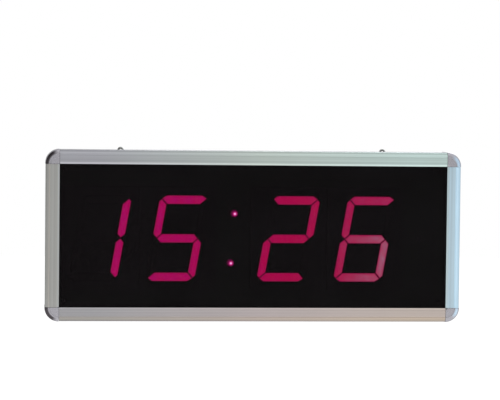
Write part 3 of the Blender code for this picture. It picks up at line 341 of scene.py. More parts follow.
def build_rails():
    """Each rail is the closed section at two ends, half its length less the corners' face and the
    saw gap either side of the middle; the section's in and deep become across and Y."""
    section = closed_section(0.0, FACE_W)
    inwards, deep = section[:, 0], section[:, 1] - FRAME_D
    for name, along, sign in (("rail_top", "X", 1), ("rail_bottom", "X", -1),
                              ("rail_right", "Z", 1), ("rail_left", "Z", -1)):
        material = anodised(name, along, sign)
        length, side = (FRAME_W, FRAME_H / 2) if along == "X" else (FRAME_H, FRAME_W / 2)
        half = length / 2 - FACE_W - SAW_GAP
        rings = np.zeros((2, len(section), 3))
        rings[..., 1] = deep
        rings[..., 2 if along == "X" else 0] = sign * (side - inwards)
        rings[..., 0 if along == "X" else 2] = np.array([[-half], [half]])
        add_piece(f"{name}_extrusion", lofted(name, rings), material, "housing",
                  "anodised_aluminium", name)


build_rails()

# ---- corner pieces ------------------------------------------------------------------------------
# Four zinc castings, painted a slightly darker silver than the rails, with a painted reflection round
# the shoulder: dark on the left corners, a pale blue highlight on the right ones.  Each is a quarter
# turn of the rail's section about the panel's corner, and stands a hair proud of the rails that it
# joins.

CAST_STEPS, CAST_PROUD = 24, 0.0004
PAINT_PALE, PAINT_DARK, PAINT_CLOUD = (0.430, 0.418, 0.450), (0.385, 0.375, 0.405), (0.36, 0.35, 0.385)
# Painted reflection colours for the left and the right corners' shoulders, and how much of them shows.
SHOULDER_PAINTED_DARK_REFLECTION, SHOULDER_PAINTED_HIGHLIGHT, SHOULDER_REFLECTION_SHARE = (0.032, 0.025, 0.028), (0.52, 0.66, 0.78), 0.90
# Distances in from the outer side between which each corner's shoulder carries a painted reflection,
# with the soft ends of the band, and the part of the quarter turn, in degrees, over which it fades.
SHOULDER_REFLECTION_BANDS = {
    "top_left": ((-0.0002, 0.0005, 0.0032, 0.0044), (60, 80)),
    "bottom_left": ((-0.0012, -0.0005, 0.0032, 0.0044), (60, 80)),
    "top_right": ((0.0006, 0.0020, 0.0044, 0.0056), (35, 65)),
    "bottom_right": ((0.0006, 0.0020, 0.0044, 0.0056), (30, 55)),
}
SHOULDER_BACK = 0.0060


def places_of(mesh):
    """Places of a mesh's vertices, one (x, y, z) row each."""
    place = np.zeros(len(mesh.vertices) * 3, np.float32)
    mesh.vertices.foreach_get("co", place)
    return place.reshape(-1, 3)


def mark_points(mesh, name, values):
    """Keep one number per vertex in the mesh, for its material to read."""
    attribute = mesh.attributes.new(name, "FLOAT", "POINT")
    attribute.data.foreach_set("value", np.asarray(values, np.float32))


def paint_shoulder_reflection(mesh, centre_x, centre_z, band, fade):
    """Attribute that is 1 where the casting's shoulder carries a painted reflection: between two
    distances in from the outer side, and from the upright rail round to where it fades."""
    place = places_of(mesh)
    away_x, away_z = np.abs(place[:, 0] - centre_x), np.abs(place[:, 2] - centre_z)
    inwards = FACE_W - np.hypot(away_x, away_z)
    turn = np.degrees(np.arctan2(away_z, away_x))
    shade = np.interp(inwards, band, (0, 1, 1, 0)) * np.interp(turn, fade, (1, 0))
    mark_points(mesh, "shoulder", shade * (place[:, 1] < SHOULDER_BACK - FRAME_D))


def casting_paint_and_reflections():
    """Metallic paint with flecks and clouds, and a painted reflection on the shoulders: dark on the left
    corners, a pale blue highlight on the right ones."""
    finish = Finish("corner casting paint and painted reflections", metallic=0.85)
    finish.set(Specular_Tint=(0.40, 0.40, 0.42, 1))
    fleck = finish.grain(1500, 0.0, 1.0, 4.0)
    cloud = finish.grain(70, 0.0, 1.0, 3.0)
    paint = finish.between(fleck, PAINT_DARK, PAINT_PALE)
    clouded = finish.between(finish.combine(cloud, 0.4), paint, PAINT_CLOUD)
    shoulder = finish.add("ShaderNodeAttribute", attribute_name="shoulder").outputs["Fac"]
    # Painted reflection on the shoulder: dark on the left, a pale blue highlight on the right.
    tint = finish.between(place_along(finish, "X", -0.1, 0.1), SHOULDER_PAINTED_DARK_REFLECTION, SHOULDER_PAINTED_HIGHLIGHT)
    finish.colour(finish.between(finish.combine(shoulder, SHOULDER_REFLECTION_SHARE), clouded, tint))
    finish.roughness(finish.grain(900, 0.24, 0.30, 3.0))
    finish.relief(fleck, 0.02, 0.00003)
    return finish.material


def build_corners():
    """Each point of the section turns about the panel's corner at a radius of the face's width less
    its distance in, through 90 degrees."""
    material = casting_paint_and_reflections()
    section = closed_section(CAST_PROUD, FACE_W - CAST_PROUD)
    radius = FACE_W - section[:, 0]
    angle = np.radians(np.linspace(0, 90, CAST_STEPS))[:, None]
    for level, sign_z in (("top", 1), ("bottom", -1)):
        for side, sign_x in (("left", -1), ("right", 1)):
            centre_x, centre_z = sign_x * (FRAME_W / 2 - FACE_W), sign_z * (FRAME_H / 2 - FACE_W)
            rings = np.zeros((CAST_STEPS, len(section), 3))
            rings[..., 0] = centre_x + sign_x * radius * np.cos(angle)
            rings[..., 1] = section[:, 1] - FRAME_D
            rings[..., 2] = centre_z + sign_z * radius * np.sin(angle)
            name = f"corner_{level}_{side}"
            mesh = lofted(name, rings)
            paint_shoulder_reflection(mesh, centre_x, centre_z, *SHOULDER_REFLECTION_BANDS[f"{level}_{side}"])
            add_piece(f"{name}_cap", mesh, material, "housing", "painted_casting", name)


build_corners()

# ---- front panel --------------------------------------------------------------------------------
# One sheet of smoked acrylic, three millimetres thick, lying in the frame's front slot.  It is dark
# enough to hide the housings and lets only the lit segments through.


def dress(names, material):
    """Give carried-over solids a finish."""
    for name in names:
        nodes[name].data.materials.clear()
        nodes[name].data.materials.append(material)


def smoked_acrylic():
    """Nearly black sheet.  Light meets its front and its back face, so the square of 1 less the alpha
    comes through."""
    finish = Finish("smoked acrylic", roughness=0.14)
    finish.set(Specular_IOR_Level=0.05, Alpha=0.66)
    haze = finish.grain((14, 14, 22), 0.0, 1.0, 2.0)
    finish.colour(finish.between(haze, (0.0038, 0.0026, 0.0032), (0.0060, 0.0046, 0.0054)))
    finish.roughness(finish.grain((40, 40, 60), 0.10, 0.20, 4.0))
    return finish.material


dress(["front_panel"], smoked_acrylic())

# ---- seven-segment digits -----------------------------------------------------------------------
# Each digit is a black moulded housing with seven slanted wells, filled with tinted cast resin over
# light-emitting chips.  The lit bars glow magenta, the dark ones can hardly be seen.

DIGIT_X = (-0.18385, -0.09165, 0.04125, 0.13345)
DIGIT_Z = -0.0028
DIGIT_H, BAR, POST, POST_PITCH = 0.1016, 0.0098, 0.0088, 0.0496
SLANT = math.tan(math.radians(10.0))
SEGMENT_GAP = 0.0012
BAR_CUT, BAR_END, POST_CUT = 0.0034, 0.0054, 0.0026
BAR_FRONT, BAR_RIM, BAR_BACK = 0.0056 - FRAME_D, 0.0060 - FRAME_D, 0.0150 - FRAME_D
# Rings of a bar as (distance in from its outline, depth, share from the rim to the core).
BAR_RINGS = ((0.0, BAR_BACK, 0.0), (0.0, BAR_RIM, 0.0), (0.0003, BAR_FRONT, 0.25),
             (0.0010, BAR_FRONT, 0.75), (0.0026, BAR_FRONT, 1.0), (0.0040, BAR_FRONT, 1.0))
SHOWN = ("1", "5", "2", "6")
LIT = {"1": "bc", "5": "afgcd", "2": "abged", "6": "afgecd"}
# Hues of the core along the frame's width, from the left side (0) to the right one (1), and the
# paler glow of the last digit's lower half, a painted reflection (haze) over it.
SEGMENT_HUES = ((0.12, (0.92, 0.0, 0.30)), (0.31, (0.88, 0.0, 0.27)), (0.59, (0.90, 0.0, 0.145)),
                (0.75, (0.84, 0.03, 0.19)), (0.86, (0.82, 0.07, 0.27)))
PAINTED_HAZE_GLOW, PAINTED_HAZE_Z, PAINTED_HAZE_X = (0.80, 0.27, 0.46), (0.008, -0.002), (0.100, 0.158)
RIM_GLOW, WARM_GLOW, SEGMENT_LIGHT = (0.62, 0.0, 0.12), (1.0, 0.0, 0.11), 3.4


def segment_outlines():
    """Outlines of the seven bars of a digit about its middle, upright, as {letter: (x, z) points}:
    a flat six-sided bar for a and g, and the same six-sided post for b; the others mirror them."""
    outer_x, inner_x = (POST_PITCH + POST) / 2, (POST_PITCH - POST) / 2
    outer_z = DIGIT_H / 2
    inner_z = outer_z - BAR
    half = SEGMENT_GAP / math.sqrt(2)
    tip_z = outer_z - BAR_CUT
    tip_x = inner_x + (tip_z - inner_z) - half
    post_x = outer_x - POST_CUT
    post_z = inner_z + (post_x - inner_x) - half
    top = np.array([(tip_x, tip_z), (tip_x - BAR_END, outer_z), (-tip_x + BAR_END, outer_z),
                    (-tip_x, tip_z), (-inner_x + half, inner_z), (inner_x - half, inner_z)])
    foot = half + POST / 2
    right = np.array([(POST_PITCH / 2, half), (outer_x, foot), (outer_x, post_z - POST_CUT),
                      (post_x, post_z), (inner_x, inner_z - half), (inner_x, foot)])
    end = POST_PITCH / 2 - half
    middle = np.array([(end, 0), (end - BAR / 2, BAR / 2), (-end + BAR / 2, BAR / 2), (-end, 0),
                       (-end + BAR / 2, -BAR / 2), (end - BAR / 2, -BAR / 2)])
    return {"a": top, "b": right, "c": right * (1, -1), "d": top * (1, -1),
            "e": right * (-1, -1), "f": right * (-1, 1), "g": middle}


def shrunk(outline, distance):
    """Each side of a convex outline moved inwards by a distance, and the corners found again."""
    following = np.roll(outline, -1, 0)
    area = np.sum(outline[:, 0] * following[:, 1] - following[:, 0] * outline[:, 1])
    before = outline - np.roll(outline, 1, 0)
    after = following - outline
    way_in = before / np.linalg.norm(before, axis=1, keepdims=True)
    way_out = after / np.linalg.norm(after, axis=1, keepdims=True)
    turn = -1.0 if area > 0 else 1.0
    normal_in = turn * np.stack([way_in[:, 1], -way_in[:, 0]], 1)
    normal_out = turn * np.stack([way_out[:, 1], -way_out[:, 0]], 1)
    share = 1 + np.sum(normal_in * normal_out, 1, keepdims=True)
    return outline + (normal_in + normal_out) / share * distance


def segment_mesh(name, outlines, x):
    """Bars with a slightly rounded front: rings of each outline at the well's depth, at the rim,
    and shrunk towards the middle, all leaning by the slant times their height, with an attribute
    that grows from the rim to the middle."""
    points, faces, core = [], [], []
    start = 0
    for outline in outlines:
        for inset, depth, value in BAR_RINGS:
            flat = shrunk(outline, inset)
            points.append(np.stack([x + flat[:, 0] + flat[:, 1] * SLANT, np.full(len(flat), depth),
                                    DIGIT_Z + flat[:, 1]], 1))
            core.append(np.full(len(flat), value))
        index = start + np.arange(len(BAR_RINGS) * len(outline)).reshape(len(BAR_RINGS), -1)
        faces += quads_between(index)
        faces += [index[0].tolist(), index[-1].tolist()]
        start += index.size
    mesh = bpy.data.meshes.new(name)
    mesh.from_pydata(np.concatenate(points).tolist(), [], faces)
    mark_points(mesh, "core", np.concatenate(core))
    return tidied(mesh, 32)


def lit_resin_with_painted_haze():
    """Glow between the rim's and the core's hue, with uneven patches where the chips sit, and a painted
    reflection that makes the last digit's lower half paler.
    """
    finish = Finish("lit segment resin with painted haze", roughness=0.4)
    core = finish.add("ShaderNodeAttribute", attribute_name="core").outputs["Fac"]
    patch = finish.grain((160, 160, 160), 0.72, 1.0, 3.0)
    share = finish.combine(core, patch)
    finish.colour(finish.between(share, (0.06, 0.006, 0.02), (0.05, 0.0, 0.015)))
    hue = ramp(finish, place_along(finish, "X", -FRAME_W / 2, FRAME_W / 2), SEGMENT_HUES)
    # Painted reflection: a pale haze over the lower half of the last digit.
    low = place_along(finish, "Z", *PAINTED_HAZE_Z)
    last = place_along(finish, "X", *PAINTED_HAZE_X)
    hue = finish.between(finish.combine(low, last), hue, PAINTED_HAZE_GLOW)
    redder = finish.between(finish.grain(120, 0.0, 0.5, 2.0), hue, WARM_GLOW)
    glow = finish.between(share, RIM_GLOW, redder)
    finish.join(glow, finish.shader.inputs["Emission Color"])
    finish.set(Emission_Strength=SEGMENT_LIGHT)
    return finish.material


def build_digits():
    """Four modules: the bars that are lit and the bars that are dark, in their carried-over housing."""
    lit = lit_resin_with_painted_haze()
    dark = Finish("unlit segment resin", roughness=0.5)
    dark.colour(dark.between(dark.grain(300), (0.010, 0.006, 0.008), (0.018, 0.010, 0.013)))
    housing = Finish("module housing", roughness=0.6)
    housing.colour(housing.between(housing.grain(900), (0.010, 0.009, 0.010), (0.016, 0.014, 0.016)))
    housing.relief(housing.grain(2200), 0.15, 0.00005)
    outlines = segment_outlines()
    for index, (figure, x) in enumerate(zip(SHOWN, DIGIT_X), 1):
        on = [outlines[letter] for letter in "abcdefg" if letter in LIT[figure]]
        off = [outlines[letter] for letter in "abcdefg" if letter not in LIT[figure]]
        add_piece(f"digit_{index}_lit", segment_mesh("lit", on, x), lit, "housing",
                  "segment_resin", f"digit_segments_{index}")
        add_piece(f"digit_{index}_unlit", segment_mesh("unlit", off, x), dark.material, "housing",
                  "segment_resin")
    dress([f"digit_housing_{index}" for index in (1, 2, 3, 4)], housing.material)


build_digits()

# ---- colon lamps --------------------------------------------------------------------------------
# Two round lamps with a domed clear lens over the chip, standing on the display board between the
# second and the third digit.

LAMP_R, LAMP_SEAT, LAMP_LIGHT = 0.0040, -0.0224, 8.2
LAMP_FLANGE_R, LAMP_FLANGE_T, DOME_BASE = LAMP_R + 0.0005, 0.0010, 0.0065
LAMP_PLACES = {"upper": (-0.0231, 0.0267), "lower": (-0.0273, -0.0323)}
LAMP_GLOW = ((0.05, (0.05, 0.0, 0.018)), (0.45, (0.30, 0.0, 0.10)), (0.68, (0.95, 0.08, 0.42)),
             (0.90, (0.90, 0.85, 1.0)))
AXIS_R = 0.00002


def turned_rings(profile, sides):
    """Rings of a profile of (radius, height) points turned about the height axis."""
    angle = np.linspace(0, 2 * math.pi, sides, endpoint=False)
    radius, height = profile[:, :1], profile[:, 1:]
    return np.stack([radius * np.cos(angle), radius * np.sin(angle),
                     np.broadcast_to(height, (len(profile), sides))], -1)


def lens_resin():
    """Clear resin that glows white at the middle of the dome and magenta to dark round it."""
    finish = Finish("colon lamp lens", roughness=0.15)
    core = finish.add("ShaderNodeAttribute", attribute_name="core").outputs["Fac"]
    finish.colour(finish.between(core, (0.12, 0.01, 0.05), (0.5, 0.2, 0.3)))
    finish.join(ramp(finish, core, LAMP_GLOW), finish.shader.inputs["Emission Color"])
    finish.set(Emission_Strength=LAMP_LIGHT)
    return finish.material


def build_colon():
    """A flange, a straight barrel and a half sphere, turned about a line that points forwards.  The
    core attribute is 1 less the share of the lamp's radius away from that line, on the dome only."""
    material = lens_resin()
    dome = arc_of((0, DOME_BASE), (LAMP_R, LAMP_R), 0, 90, 14)
    dome[-1, 0] = AXIS_R
    foot = [[AXIS_R, 0], [LAMP_FLANGE_R, 0], [LAMP_FLANGE_R, LAMP_FLANGE_T], [LAMP_R, LAMP_FLANGE_T]]
    rings = turned_rings(np.concatenate([foot, dome]), 32)
    for label, (x, z) in LAMP_PLACES.items():
        placed = np.stack([rings[..., 0] + x, LAMP_SEAT - rings[..., 2], rings[..., 1] + z], -1)
        mesh = lofted("lamp", placed)
        place = places_of(mesh)
        away = np.hypot(place[:, 0] - x, place[:, 2] - z) / LAMP_R
        on_dome = place[:, 1] < LAMP_SEAT - DOME_BASE + 0.0001
        mark_points(mesh, "core", np.clip(1.0 - away, 0, 1) * on_dome)
        add_piece(f"colon_{label}_lens", mesh, material, "housing", "lamp_resin",
                  f"colon_lamp_{label}")


build_colon()

# ---- inside the case ----------------------------------------------------------------------------
# Boards of lacquered glass fibre, moulded plastic supports that snap into them, a flat cable and the
# small parts on the boards; hardly seen once the case is closed.


def plain_finish(name, low, high, roughness, metallic=0.0, cycles=600, relief=0.1):
    """A simple moulded, coated or plated finish: two close shades, grained, with a little relief."""
    finish = Finish(name, metallic=metallic)
    grain = finish.grain(cycles)
    finish.colour(finish.between(grain, low, high))
    finish.roughness(finish.grain(cycles * 0.4, roughness - 0.06, roughness + 0.06))
    finish.relief(grain, relief, 0.00004)
    return finish.material


board = plain_finish("board lacquer", (0.008, 0.030, 0.014), (0.012, 0.042, 0.020), 0.40, cycles=220)
nylon = plain_finish("black nylon", (0.020, 0.020, 0.021), (0.030, 0.030, 0.031), 0.50)
black = plain_finish("black moulding", (0.012, 0.012, 0.013), (0.020, 0.020, 0.022), 0.44, cycles=1800)
steel = plain_finish("cell steel", (0.52, 0.52, 0.52), (0.60, 0.60, 0.60), 0.30, 1.0)
grey = plain_finish("cable sleeve", (0.24, 0.24, 0.25), (0.30, 0.30, 0.31), 0.50)
zinc = plain_finish("zinc plate", (0.46, 0.47, 0.46), (0.60, 0.60, 0.57), 0.30, 1.0, cycles=900)
dress(["display_board", "control_board"], board)
dress([f"{kind}_support_{index}" for kind in ("display", "control") for index in (1, 2, 3, 4)], nylon)
dress([f"key_switch_{index}" for index in (1, 2, 3)], black)
dress(["sounder", "battery_holder", "remote_eye"], black)
dress(["coin_cell"], steel)
dress(["ribbon_cable"], grey)
dress(["dc_jack_nut"], zinc)

# ---- rear cover ---------------------------------------------------------------------------------
# One millimetre steel sheet, punched for air, sound, keys, socket and rocker, then powder coated in a
# fine black texture.  Six screws and the two hanger screws hold it to the flanges of the rails.

COVER_INSET, COVER_T, COVER_EDGE = 0.0016, 0.0010, 0.00012
CONTROL_Z = 0.0615 - FRAME_H / 2
KEY_PLACES = [(x, CONTROL_Z) for x in (-0.044, -0.030, -0.016)]
SOUND_PLACE, SOUND_CIRCLE = (0.0300, CONTROL_Z), 0.0055
JACK_PLACE = (0.0900, 0.0465 - FRAME_H / 2)
ROCKER_PLACE = (0.1200, JACK_PLACE[1])
HANGER_X = FRAME_W / 2 - 0.0895
HANGER_SCREW_Z = FRAME_H / 2 - 0.0138
SCREW_X, SCREW_Z = FRAME_W / 2 - 0.0085, FRAME_H / 2 - 0.0085
SCREW_PLACES = [(0, SCREW_Z), (SCREW_X, 0), (HANGER_X, -SCREW_Z), (0, -SCREW_Z), (-HANGER_X, -SCREW_Z),
                (-SCREW_X, 0)]
HANGER_SCREW_PLACES = [(-HANGER_X, HANGER_SCREW_Z), (HANGER_X, HANGER_SCREW_Z)]
SCREW_HOLE, KEY_HOLE, JACK_HOLE, SOUND_HOLE = 0.0032, 0.0070, 0.0084, 0.0022
ROCKER_HOLE_W, ROCKER_HOLE_H, ROCKER_HOLE_R = 0.0135, 0.0198, 0.0003
VENT_GROUPS, VENT_PITCH, VENT_LENGTH, VENT_R, VENT_Z = (-0.14, 0.0, 0.14), 0.008, 0.030, 0.0015, 0.030


def round_box(centre, width, height, radius, steps=9):
    """Rectangle with round corners: a quarter of a circle about each corner's centre in turn."""
    reach_x, reach_z = width / 2 - radius, height / 2 - radius
    corners = ((1, 1, 0), (-1, 1, 90), (-1, -1, 180), (1, -1, 270))
    return np.concatenate([arc_of((centre[0] + side_x * reach_x, centre[1] + side_z * reach_z),
                                  (radius, radius), start, start + 90, steps)
                           for side_x, side_z, start in corners])


def round_hole(centre, width, steps=9):
    """A circle, as a round box that is all corners."""
    return round_box(centre, width, width, width / 2, steps)


def punched_sheet(name, outlines, thickness, edge):
    """A flat curve filled between its outer outline and its holes, given a thickness and a small
    round edge, and stood up so that its back lies in the plane of Y = 0."""
    curve = bpy.data.curves.new(name, "CURVE")
    curve.dimensions, curve.fill_mode = "2D", "BOTH"
    curve.extrude, curve.bevel_depth, curve.bevel_resolution = thickness / 2 - edge, edge, 1
    curve.offset = -edge
    for outline in outlines:
        spline = curve.splines.new("POLY")
        spline.points.add(len(outline) - 1)
        flat = np.column_stack([outline, np.zeros(len(outline)), np.ones(len(outline))])
        spline.points.foreach_set("co", flat.ravel())
        spline.use_cyclic_u = True
    holder = bpy.data.objects.new(name, curve)
    bpy.context.scene.collection.objects.link(holder)
    ready = holder.evaluated_get(bpy.context.evaluated_depsgraph_get())
    mesh = bpy.data.meshes.new_from_object(ready)
    bpy.data.objects.remove(holder)
    upright = Matrix.Translation((0, -thickness / 2, 0)) @ Matrix.Rotation(math.pi / 2, 4, "X")
    mesh.transform(upright)
    return tidied(mesh, 12)


def powder_coat():
    """Fine black texture, with paler rubbed patches and thin scuffs."""
    finish = Finish("powder coat")
    lump = finish.grain(1500, 0.0, 1.0, 2.0)
    rub = finish.combine(finish.grain((9, 9, 9), -1.4, 1.0, 4.0), 0.0, "MAXIMUM")
    scuff = finish.combine(finish.grain((25, 25, 700), -3.2, 1.0, 2.0), 0.0, "MAXIMUM")
    worn = finish.combine(finish.combine(rub, 0.35), finish.combine(scuff, 0.5), "ADD", clamp=True)
    coat = finish.between(lump, (0.015, 0.015, 0.016), (0.026, 0.026, 0.028))
    finish.colour(finish.between(worn, coat, (0.060, 0.060, 0.062)))
    finish.roughness(finish.combine(finish.grain(30, 0.52, 0.64, 3.0), finish.combine(worn, 0.16),
                                    "SUBTRACT"))
    finish.relief(lump, 0.40, 0.00014)
    finish.set(Specular_IOR_Level=0.32)
    return finish.material


def build_cover():
    """The frame's outline, inset, less every hole: screws, keys, socket, rocker, sound and vents."""
    outline = round_box((0, 0), FRAME_W - 2 * COVER_INSET, FRAME_H - 2 * COVER_INSET,
                        FACE_W - COVER_INSET, 20)
    holes = [round_hole(at, SCREW_HOLE) for at in SCREW_PLACES + HANGER_SCREW_PLACES]
    holes += [round_hole(at, KEY_HOLE) for at in KEY_PLACES]
    holes += [round_hole(JACK_PLACE, JACK_HOLE)]
    holes += [round_box(ROCKER_PLACE, ROCKER_HOLE_W, ROCKER_HOLE_H, ROCKER_HOLE_R, 2)]
    sound = [SOUND_PLACE] + list(arc_of(SOUND_PLACE, (SOUND_CIRCLE, SOUND_CIRCLE), 0, 300, 6))
    holes += [round_hole(at, SOUND_HOLE, 6) for at in sound]
    holes += [round_box((middle + step * VENT_PITCH, VENT_Z), 2 * VENT_R, VENT_LENGTH, VENT_R)
              for middle in VENT_GROUPS for step in (-2, -1, 0, 1, 2)]
    sheet = punched_sheet("rear_cover_sheet", [outline] + holes, COVER_T, COVER_EDGE)
    add_piece("rear_cover_sheet", sheet, powder_coat(), "housing", "powder_coated_sheet", "rear_cover")


build_cover()

# ---- screws -------------------------------------------------------------------------------------
# Zinc-plated pan heads with a crossed recess and a thread-forming shank; the two at the hangers stand
# on the straps, the others on the cover.

HEAD_R, HEAD_H, SHANK_R, SCREW_LENGTH = 0.0028, 0.0017, 0.00125, 0.0055
RECESS_ARM, RECESS_HALF, RECESS_DEPTH = 0.00185, 0.00036, 0.0010
THREAD_PITCH, THREAD_HEIGHT, THREAD_FLANK, THREAD_STOP = 0.0010, 0.00022, 3.2, 0.0003
HEAD_EASE, TIP_H = 0.0001, 0.0001
STRAP_T, SEAT = 0.0010, 0.0003
POLE_R = 0.00001


def screw_mesh(place, under_head, turn):
    """Turned surface of (radius, height) rings from the tip to the middle of the head.  The shank's
    radius rises to a crest once per pitch and turn.  The head is a quarter of an ellipse, sunk inside
    a cross that ends, at an angle a from the nearest arm's middle, at the smaller of the arm's length
    and half its width / sin(a)."""
    corner = math.asin(RECESS_HALF / RECESS_ARM)
    quarter = np.concatenate([np.linspace(-corner, corner, 6),
                              np.linspace(corner, math.pi / 2 - corner, 13)[1:-1]])
    angle = np.concatenate([quarter + math.pi / 2 * step for step in range(4)])[None, :] + turn
    shank_h = np.linspace(-SCREW_LENGTH + SHANK_R / 2, -THREAD_STOP, 44)[:, None]
    phase = np.abs((shank_h / THREAD_PITCH - angle / (2 * math.pi)) % 1.0 - 0.5)
    shank_r = SHANK_R - THREAD_HEIGHT * np.clip(phase * THREAD_FLANK, 0, 1)
    tip_r = np.array([[POLE_R], [SHANK_R * 0.5]]) + 0 * angle
    tip_h = np.array([[-SCREW_LENGTH], [-SCREW_LENGTH + TIP_H]]) + 0 * angle
    crown = arc_of((0, 0), (HEAD_R, HEAD_H), 4, 56, 9)
    rim_r = np.concatenate([[SHANK_R, HEAD_R - HEAD_EASE], crown[:, 0]])[:, None] + 0 * angle
    rim_h = np.concatenate([[0, 0], crown[:, 1]])[:, None] + 0 * angle
    from_arm = np.abs((angle - turn + math.pi / 4) % (math.pi / 2) - math.pi / 4)
    edge = np.minimum(RECESS_ARM, RECESS_HALF / np.sin(np.maximum(from_arm, 0.01)))
    share = np.linspace(0, 1, 7)[1:, None]
    floor_r = np.array([[0.94], [0.6], [0.3]]) * edge
    top_r = np.concatenate([crown[-1, 0] * (1 - share) + edge * share, floor_r, 0 * angle + POLE_R])
    top_h = HEAD_H * np.sqrt(1 - (top_r / HEAD_R) ** 2)
    top_h[len(share):] -= RECESS_DEPTH
    radius = np.concatenate([tip_r, shank_r, rim_r, top_r])
    height = np.concatenate([tip_h, shank_h + 0 * angle, rim_h, top_h])
    rings = np.stack([place[0] + radius * np.cos(angle), under_head + height,
                      place[1] + radius * np.sin(angle)], -1)
    return lofted("screw", rings, sharp=40)


def build_screws():
    """Each screw is turned to another angle, as a hand leaves them."""
    for index, place in enumerate(SCREW_PLACES, 1):
        add_piece(f"cover_screw_{index}_turned", screw_mesh(place, SEAT, 0.7 * index), zinc, "housing",
                  "zinc_plated_steel", f"cover_screw_{index}")
    for side, place, turn in zip(("left", "right"), HANGER_SCREW_PLACES, (0.3, 1.1)):
        add_piece(f"hanger_screw_{side}_turned", screw_mesh(place, 2 * SEAT + STRAP_T, turn), zinc,
                  "housing", "zinc_plated_steel", f"hanger_screw_{side}")


build_screws()

# ---- set keys -----------------------------------------------------------------------------------
# Three black moulded caps with a rounded, slightly dished top.  A flange behind the cover keeps each
# in its hole, and a stem stands in the push switch.

CAP_R, CAP_TOP, CAP_SOFT, CAP_DISH = 0.0032, 0.0012, 0.0006, 0.0003
CAP_FLANGE_R, CAP_FLANGE_FRONT, CAP_FLANGE_BACK, CAP_EASE = 0.0044, -0.0027, -0.0013, 0.0001
STEM_R, STEM_END, STEM_EASE = 0.0016, -0.0050, 0.0002


def turned_piece(profile, place, sides=48):
    """Turn a profile of (radius, out of the cover) points about a line through the cover."""
    rings = turned_rings(np.array(profile, float), sides)
    placed = np.stack([place[0] + rings[..., 0], rings[..., 2], place[1] + rings[..., 1]], -1)
    return lofted("turned", placed, sharp=35)


def build_keys():
    """Stem, flange, side, a rounded edge, and a dish that deepens with 1 less the square of the share
    of the way out, turned about the key's line."""
    inner = CAP_R - CAP_SOFT
    stem = [(POLE_R, STEM_END), (STEM_R - STEM_EASE, STEM_END), (STEM_R, STEM_END + STEM_EASE)]
    flange = [(STEM_R, CAP_FLANGE_FRONT), (CAP_FLANGE_R - CAP_EASE, CAP_FLANGE_FRONT),
              (CAP_FLANGE_R, CAP_FLANGE_FRONT + CAP_EASE), (CAP_FLANGE_R, CAP_FLANGE_BACK - CAP_EASE),
              (CAP_FLANGE_R - CAP_EASE, CAP_FLANGE_BACK), (CAP_R, CAP_FLANGE_BACK)]
    edge = arc_of((inner, CAP_TOP - CAP_SOFT), (CAP_SOFT, CAP_SOFT), 0, 90, 7)
    dish_r = np.linspace(inner, POLE_R, 9)[1:]
    dish = np.column_stack([dish_r, CAP_TOP - CAP_DISH * (1 - (dish_r / inner) ** 2)])
    profile = np.concatenate([stem, flange, edge, dish])
    for index, place in enumerate(KEY_PLACES, 1):
        add_piece(f"key_cap_{index}_moulded", turned_piece(profile, place), black, f"key_cap_{index}",
                  "black_plastic", f"key_cap_{index}")


build_keys()

# ---- supply socket ------------------------------------------------------------------------------
# A flanged black moulded barrel, put in from the back and held by a nut inside the cover, with a
# plated pin standing in its bore.

JACK_FLANGE_R, JACK_FLANGE_TOP, JACK_SOFT, MOUTH_SOFT = 0.0058, 0.0018, 0.0005, 0.0004
BORE_R, BORE_FLOOR, HUB_R, BARREL_R, BARREL_END = 0.00285, -0.0077, 0.0013, 0.0039, -0.0130
PIN_R, PIN_END, PIN_EASE, PIN_DOME = 0.0010, -0.0160, 0.0001, 0.0008


def build_socket():
    """The barrel is a closed profile turned about the socket's line: hub, outside, flange, rim, mouth
    and bore.  The pin is a rod whose tip is a quarter of an ellipse, turned about the same line."""
    rim = arc_of((JACK_FLANGE_R - JACK_SOFT, JACK_FLANGE_TOP - JACK_SOFT), (JACK_SOFT, JACK_SOFT),
                 0, 90, 6)
    mouth = arc_of((BORE_R + MOUTH_SOFT, JACK_FLANGE_TOP - MOUTH_SOFT), (MOUTH_SOFT, MOUTH_SOFT),
                   90, 180, 5)
    outside = [(HUB_R, BORE_FLOOR), (HUB_R, BARREL_END), (BARREL_R, BARREL_END), (BARREL_R, SEAT),
               (JACK_FLANGE_R, SEAT)]
    barrel = np.concatenate([outside, rim, mouth, [(BORE_R, BORE_FLOOR)]])
    rings = turned_rings(np.concatenate([barrel, barrel[:1]]), 56)
    x, z = JACK_PLACE
    placed = np.stack([x + rings[..., 0], rings[..., 2], z + rings[..., 1]], -1)
    add_piece("dc_jack_barrel", lofted("barrel", placed, False, 35), black, "housing", "black_plastic",
              "dc_jack")
    tip = arc_of((0, SEAT - PIN_DOME), (PIN_R, PIN_DOME), 0, 90, 8)
    tip[-1, 0] = POLE_R
    rod = [(POLE_R, PIN_END), (PIN_R - PIN_EASE, PIN_END), (PIN_R, PIN_END + PIN_EASE)]
    add_piece("dc_jack_pin_turned", turned_piece(np.concatenate([rod, tip]), JACK_PLACE, 32), zinc,
              "housing", "zinc_plated_steel", "dc_jack_pin")


build_socket()

# ---- power rocker -------------------------------------------------------------------------------
# Snap-in black body with a bezel.  The rocker turns on two small pins; its dished top carries a bar
# at the on end and a ring at the off end, both printed in white.


